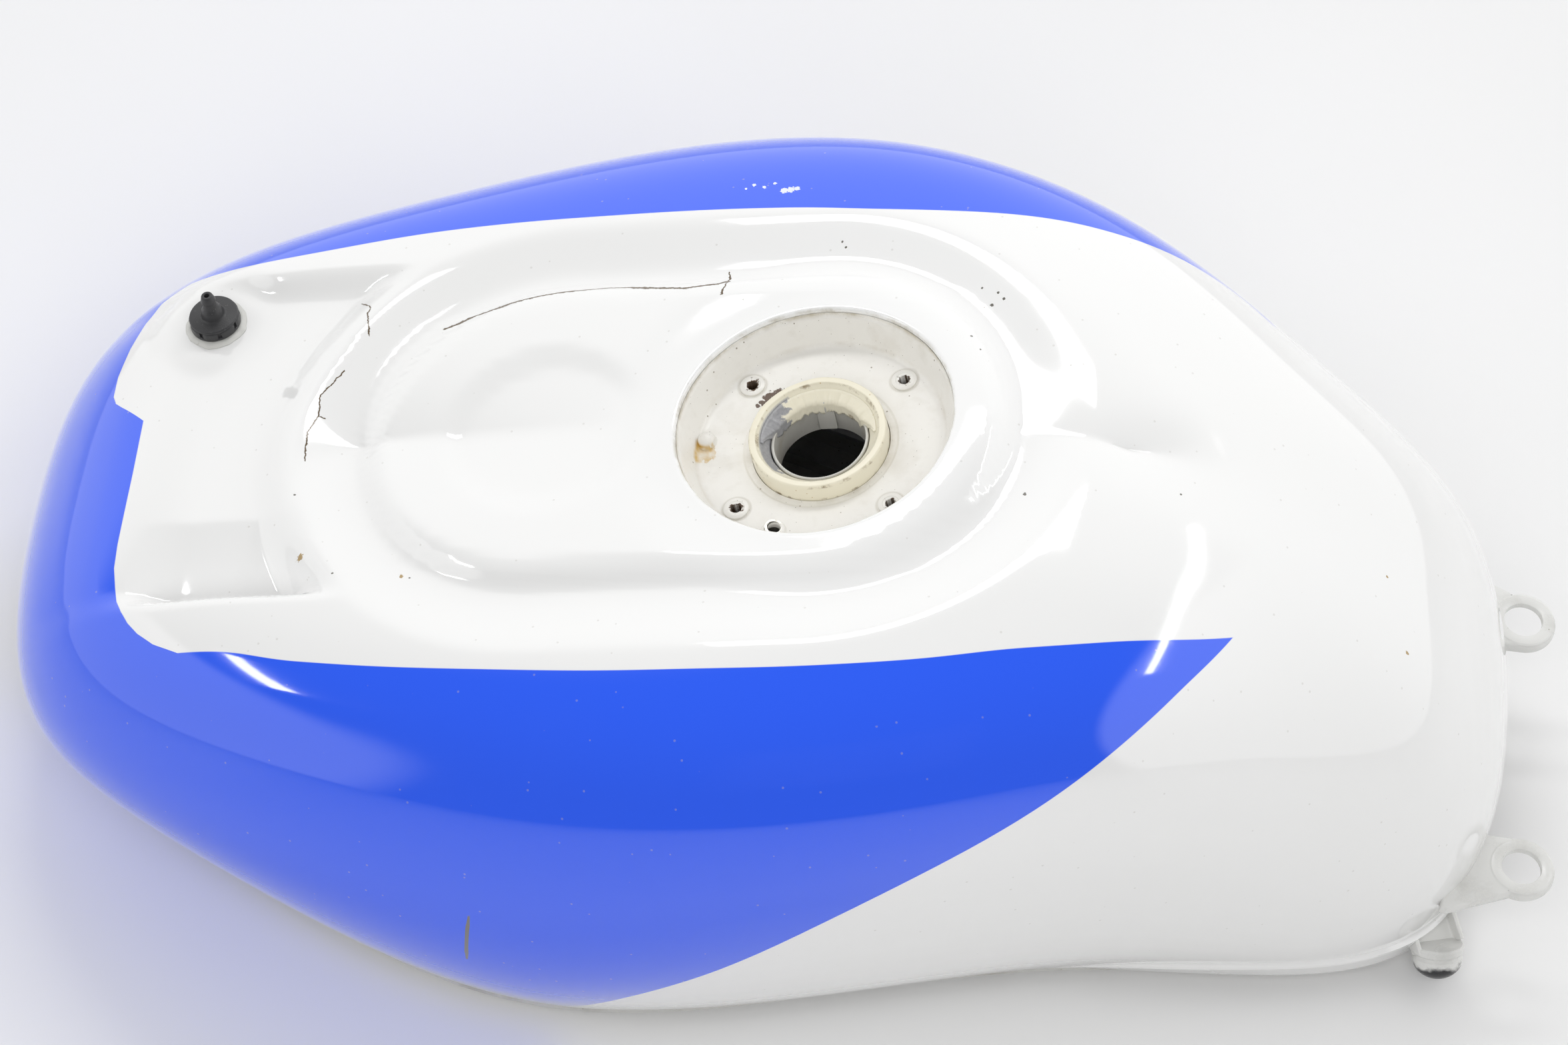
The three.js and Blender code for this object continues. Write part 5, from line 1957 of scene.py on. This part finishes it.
# ---- ears and stays
@dataclass
class RearEar:
    """A flat ear with a raised ring round its hole and a turned-down edge, in millimetres."""

    hole: float = 9.0
    ring: float = 14.2
    end_r: float = 15.3
    reach: float = 36.0
    root: float = 43.5
    shift: float = 6.4
    sheet: float = 2.2
    deck: float = 1.3
    skirt: float = 3.6
    middle_y: float = 68.0
    steps: int = 120

    def _outline(self, angles: np.ndarray) -> np.ndarray:
        """How far the outline is from the hole's middle in each direction.

        Args:
            angles: The directions, in radians.

        Returns:
            The distances, in millimetres.
        """
        arc = np.linspace(1.25, 1.5 * math.pi, 60)
        points = [(self.end_r * math.cos(t), self.end_r * math.sin(t)) for t in arc]
        points += [(self.reach, self.shift - self.root / 2), (self.reach, self.shift + self.root / 2)]
        out = np.full(len(angles), 1e3)
        for i, t in enumerate(angles):
            d = np.array([math.cos(t), math.sin(t)])
            for a, b in zip(points, points[1:] + points[:1]):
                a, e = np.array(a), np.array(b) - np.array(a)
                det = e[0] * d[1] - e[1] * d[0]
                if abs(det) < 1e-9:
                    continue
                along = (e[0] * a[1] - e[1] * a[0]) / det
                share = (d[0] * a[1] - d[1] * a[0]) / det
                if along > 0 and -1e-6 <= share <= 1 + 1e-6:
                    out[i] = min(out[i], along)
        return out

    def soup(self, centre: Point) -> Soup:
        """The left-hand ear.

        Args:
            centre: The hole's middle in metres, halfway up the sheet.

        Returns:
            Its shape.
        """
        angles = np.arange(self.steps) * 2 * math.pi / self.steps
        edge = self._outline(angles)
        h, t = self.deck, self.sheet
        near = [(self.hole, -h), (self.hole, h - 0.1), (self.hole + 0.15, h + 0.25),
                (self.hole + 0.6, h + 0.45), (self.ring - 0.7, h + 0.45), (self.ring - 0.3, h + 0.35),
                (self.ring, h + 0.12),
                (self.ring + 0.35, h)]
        far = [(-1.9, h - 0.02), (-1.0, h - 0.25), (-0.35, h - 0.85), (0, h - 1.8), (0, -self.skirt + 0.3),
               (-0.3, -self.skirt), (-t + 0.3, -self.skirt), (-t, -self.skirt + 0.3), (-t, -h - 0.8),
               (-t - 0.8, -h)]
        rows = []
        for a, reach in zip(angles, edge):
            radii = [(r, z) for r, z in near] + [(max(reach + r, self.ring - 0.2), z) for r, z in far]
            rows.append([(r * math.cos(a), r * math.sin(a), z) for r, z in radii])
        grid = np.array(rows)
        n = grid.shape[1]
        faces = []
        for i in range(self.steps):
            k = (i + 1) % self.steps
            for j in range(n):
                m = (j + 1) % n
                faces.append([i * n + j, i * n + m, k * n + m, k * n + j])
        return Soup.of(grid.reshape(-1, 3) * MM + np.array(centre), faces, flip=True)

    def build(self, paint: bpy.types.Material) -> list[bpy.types.Object]:
        """Builds both ears.

        Args:
            paint: Their paint.

        Returns:
            The two pieces.
        """
        low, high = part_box("rear_ear_left")
        left = self.soup((low[0] + self.end_r * MM, self.middle_y * MM, high[2] - self.sheet * MM))
        return [
            dress_piece(bare_object("ear_left", left), paint, ["rear_ear_left"]),
            dress_piece(bare_object("ear_right", left.mirrored()), paint, ["rear_ear_right"]),
        ]


@dataclass
class SideStay:
    """A channel that runs out from under the hem to a collared, domed pad, in millimetres."""

    pad_at: tuple = (-304.7, 94.1, 12.0)
    axis: tuple = (-0.12, 0.574, -0.81)
    pad_r: float = 11.5
    dome: float = 10.0
    crown: float = 7.2
    root_in: tuple = (14.0, -27.0)
    root_z: float = 34.0

    def tip(self, side: int = 1) -> tuple[float, float, float]:
        """The middle of the pad's crown in metres.

        Args:
            side: 1 for the left-hand stay and -1 for the right.

        Returns:
            The point.
        """
        axis = Vector(self.axis).normalized()
        p = Vector(self.pad_at) + axis * 6.5
        return (p.x * MM, side * p.y * MM, p.z * MM)

    def soup(self) -> Soup:
        """The left-hand stay.

        Returns:
            Its shape.
        """
        r = self.pad_r
        turns = np.linspace(0.12, math.pi / 2, 14)
        dome = [(r * math.cos(t), self.crown + self.dome * (math.sin(t) - 1)) for t in turns]
        profile = fillet([
            (0, -9.5), (r - 0.2, -9.5, 0.8), (r + 0.4, -8.6, 0.6), (r + 0.4, -6.0, 0.8), (r - 0.9, -5.0, 0.6),
            (r - 0.9, -4.2, 0.5), (r - 0.1, -3.4, 0.6),
        ], closed=False, steps=5) + dome[:-1] + [(0, self.crown)]
        points, faces = lathe(profile, 96)
        turn = Vector((0, 0, 1)).rotation_difference(Vector(self.axis).normalized()).to_matrix()
        soup = Soup.of(points @ np.array(turn).T + np.array(self.pad_at) * MM, faces)
        start = np.array([self.pad_at[0] + self.root_in[0], self.pad_at[1] + self.root_in[1], self.root_z])
        end = np.array(self.pad_at) - np.array(self.axis) * 7.5
        half = r + 0.2
        section = fillet([
            (-half, -4.2, 0.9), (half, -4.2, 0.9), (half, 5.0, 0.6), (half - 2.0, 5.0, 0.6),
            (half - 2.2, -1.8, 1.2), (2.2 - half, -1.8, 1.2), (2.0 - half, 5.0, 0.6), (-half, 5.0, 0.6),
        ], steps=4)
        run = end - start
        side = np.array([-run[1], run[0], 0]) / math.hypot(run[0], run[1])
        face = np.cross(run / np.linalg.norm(run), side)
        stations = np.linspace(0, 1, 9)
        rows = []
        for s in stations:
            for a, b in section:
                rows.append(start + run * s + side * a + face * b)
        soup.add(np.array(rows) * MM, bar_faces(len(stations), len(section)), flip=True)
        return soup

    def build(self, paint: bpy.types.Material) -> list[bpy.types.Object]:
        """Builds both stays.

        Args:
            paint: Their worn paint.

        Returns:
            The two pieces.
        """
        left = self.soup()
        return [
            dress_piece(bare_object("stay_left", left), paint, ["side_stay_left"]),
            dress_piece(bare_object("stay_right", left.mirrored()), paint, ["side_stay_right"]),
        ]


# ---- carried-over nodes
def dress_nodes(finishes: dict[str, bpy.types.Material]) -> None:
    """Gives the CAD nodes that stay visible their materials.

    Args:
        finishes: The material of each node.
    """
    for name, material in finishes.items():
        node = frame["nodes"][name]
        node.data.materials.clear()
        node.data.materials.append(material)
        log.info("%s keeps its CAD shape", name)


# ---- studio
@dataclass
class Studio:
    """The floor, the soft lights and the camera.

    Attributes:
        right: The camera's right-hand direction.
        up: Its upward direction.
        back: The direction from the tank to the camera.
        eye: Where the camera stands, in metres.
        lens: Its focal length on a 36 mm sensor.
        middle: What the lights point at.
    """

    right: tuple = (-0.9921, -0.0998, 0.0763)
    up: tuple = (0.1257, -0.7978, 0.5897)
    back: tuple = (0.002, 0.5946, 0.804)
    eye: tuple = (0.0168, 1.2259, 1.8109)
    lens: float = 107.86
    middle: tuple = (0.0, 0.0, 0.14)

    def build_camera(self) -> bpy.types.Object:
        """Makes the camera.

        Returns:
            The camera.
        """
        data = bpy.data.cameras.new("camera")
        data.lens = self.lens
        data.sensor_width = 36.0
        data.clip_end = 50.0
        camera = bpy.data.objects.new("camera", data)
        bpy.context.scene.collection.objects.link(camera)
        turn = Matrix((self.right, self.up, self.back)).transposed().to_4x4()
        camera.matrix_world = Matrix.Translation(self.eye) @ turn
        bpy.context.scene.camera = camera
        return camera

    def build_floor(self, effects: Effects) -> bpy.types.Object:
        """Makes the plain pale floor.

        Args:
            effects: The shared node groups.

        Returns:
            The floor.
        """
        half, low = 4.0, -0.0004
        corners = [(-half, -half, low), (half, -half, low), (half, half, low), (-half, half, low)]
        floor = bare_object("floor", Soup(corners, [[0, 1, 2, 3]]))
        material, g, shader = Finish("floor_board", effects).start()
        at = coordinates(g)
        tone = g.scaled(g.noise(at, 3.0, 2.0), 0.3, 0.7)
        g.feed(shader.inputs["Base Color"], g.mix(tone, (0.90, 0.90, 0.90), (0.925, 0.925, 0.925)))
        shader.inputs["Roughness"].default_value = 0.35
        floor.data.materials.append(material)
        return floor

    def _lamp(self, name: str, toward: Point, distance: float, wide: float, tall: float, glow: float,
              along: Point) -> bpy.types.Object:
        """Makes a soft box.

        Args:
            name: Its name.
            toward: Its direction from the tank, as amounts along right, up and back.
            distance: How far away it is.
            wide: Its size along the direction given by along.
            tall: Its other size.
            glow: Its brightness.
            along: The direction of its long side, as amounts along right, up and back.

        Returns:
            The light.
        """
        axes = Matrix((self.right, self.up, self.back)).transposed()
        way = (axes @ Vector(toward)).normalized()
        long_side = axes @ Vector(along)
        long_side = (long_side - way * long_side.dot(way)).normalized()
        data = bpy.data.lights.new(name, "AREA")
        data.shape = "RECTANGLE"
        data.size, data.size_y = wide, tall
        data.energy = glow * math.pi * wide * tall
        lamp = bpy.data.objects.new(name, data)
        bpy.context.scene.collection.objects.link(lamp)
        turn = Matrix((long_side, way.cross(long_side), way)).transposed().to_4x4()
        lamp.matrix_world = Matrix.Translation(Vector(self.middle) + way * distance) @ turn
        lamp.visible_camera = False
        return lamp

    def build_lights(self) -> None:
        """Makes the soft boxes and the surroundings."""
        self._lamp("overhead", (0.03, 0.90, 0.34), 1.25, 0.95, 0.14, 8.0, (1, 0, 0))
        self._lamp("left_box", (-0.73, 0.36, 0.57), 1.35, 0.32, 0.04, 14.0, (0, 1, -0.5))
        self._lamp("right_box", (0.72, 0.50, 0.40), 1.35, 0.80, 0.035, 14.0, (0, 1, -0.5))
        fill = self._lamp("fill", (0.0, -0.10, 1.0), 2.6, 2.0, 1.6, 2.8, (1, 0, 0))
        fill.visible_glossy = False
        self._build_surroundings()

    def _build_surroundings(self) -> None:
        """Pale walls all round, with a dim room behind the camera."""
        world = bpy.data.worlds.new("studio")
        bpy.context.scene.world = world
        world.use_nodes = True
        world.node_tree.nodes.clear()
        g = Graph(world.node_tree)
        way = g.add("ShaderNodeTexCoord").outputs["Generated"]
        behind = g.vector("DOT_PRODUCT", way, self.back, "Value")
        aside = g.math("ABSOLUTE", g.vector("DOT_PRODUCT", way, self.right, "Value"))
        dim = g.math("MULTIPLY", g.fade(behind, 0.10, 0.46), g.fade(aside, 0.74, 0.70))
        level = g.scaled(dim, 0.0, 1.0, 1.18, 0.24)
        shade = g.add("ShaderNodeBackground", {"Color": (1.0, 1.0, 1.0, 1.0), "Strength": level})
        output = g.add("ShaderNodeOutputWorld")
        g.feed(output.inputs[0], shade.outputs[0])
        bpy.context.scene.view_settings.view_transform = "Standard"


# ---- the whole tank
def build_materials(effects: Effects) -> dict[str, bpy.types.Material]:
    """Builds every finish.

    Args:
        effects: The shared node groups.

    Returns:
        The materials by name.
    """
    stay = SideStay()
    finishes = {
        "body": BodyPaint("body_paint", effects),
        "recess": RecessPaint("recess_paint", effects),
        "neck": NeckPaint("neck_cream", effects, (0.81, 0.765, 0.615), (0.60, 0.48, 0.28), 0.44, 0.45,
                          (0.3, 0.55), (0.20, 0.14, 0.07), 0.20),
        "ear": AgedPaint("ear_white", effects, (0.76, 0.76, 0.74), (0.40, 0.39, 0.35), 0.50, 0.6,
                         (0.22, 0.5), (0.20, 0.14, 0.08), 0.27),
        "stay": WornPad("stay_white", effects, (0.76, 0.76, 0.74), (0.36, 0.36, 0.34), 0.46, 0.6,
                        (0.22, 0.5), (0.10, 0.09, 0.08), 0.22, (stay.tip(1), stay.tip(-1))),
        "primer": AgedPaint("underside_primer", effects, (0.60, 0.595, 0.57), (0.28, 0.25, 0.20), 0.52, 0.55,
                            (0.45, 0.75), (0.22, 0.12, 0.06), 0.27),
        "sleeve": Metal("sleeve_metal", effects, (0.58, 0.57, 0.53), (0.40, 0.34, 0.24), (0.4, 0.6), 0.25,
                        0.48),
        "zinc": Metal("zinc_plate", effects, (0.62, 0.61, 0.57), (0.36, 0.33, 0.26), (0.3, 0.5), 0.9, 0.5),
        "steel": Metal("ball_steel", effects, (0.75, 0.75, 0.76), (0.5, 0.48, 0.45), (0.12, 0.25), 1.0, 0.35),
        "sealer": Rubbery("sealer_bead", effects, (0.64, 0.64, 0.61), (0.40, 0.37, 0.30), (0.35, 0.6), 0.42,
                          0.3),
        "plastic": Rubbery("cap_plastic", effects, (0.036, 0.036, 0.038), (0.36, 0.36, 0.35), (0.38, 0.6),
                           0.38, 0.35),
    }
    return {key: finish.material() for key, finish in finishes.items()}


def main() -> None:
    """Builds the tank's pieces in order, dresses them and sets up the studio."""
    logging.basicConfig(level=logging.INFO, format="%(message)s")
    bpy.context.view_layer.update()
    studio = Studio()
    studio.build_camera()
    effects = Effects()
    looks = build_materials(effects)
    ring = RingTree()
    Skin().build(looks["body"])
    RecessCup().build(looks["recess"])
    DrainCollar().build(looks["recess"])
    neck = Neck()
    neck.build(looks["neck"])
    neck.build_film(looks["neck"])
    Sleeve().build(looks["sleeve"])
    screws = CapScrews()
    screws.build(ring, looks["recess"])
    screws.build_dowel(looks["recess"])
    vent = VentValve()
    vent.build_seal(looks["sealer"])
    vent.build_cap(ring, looks["plastic"])
    RearEar().build(looks["ear"])
    SideStay().build(looks["stay"])
    dress_nodes({
        "floor_pan": looks["primer"],
        "front_mount_left": looks["primer"], "front_mount_right": looks["primer"],
        "drain_tube": looks["zinc"], "vent_boss": looks["zinc"], "vent_pipe": looks["zinc"],
        "tap_flange": looks["zinc"], "baffle_front": looks["zinc"], "baffle_rear": looks["zinc"],
        "vent_ball": looks["steel"],
    })
    studio.build_floor(effects)
    studio.build_lights()


if __name__ == "__main__":
    main()
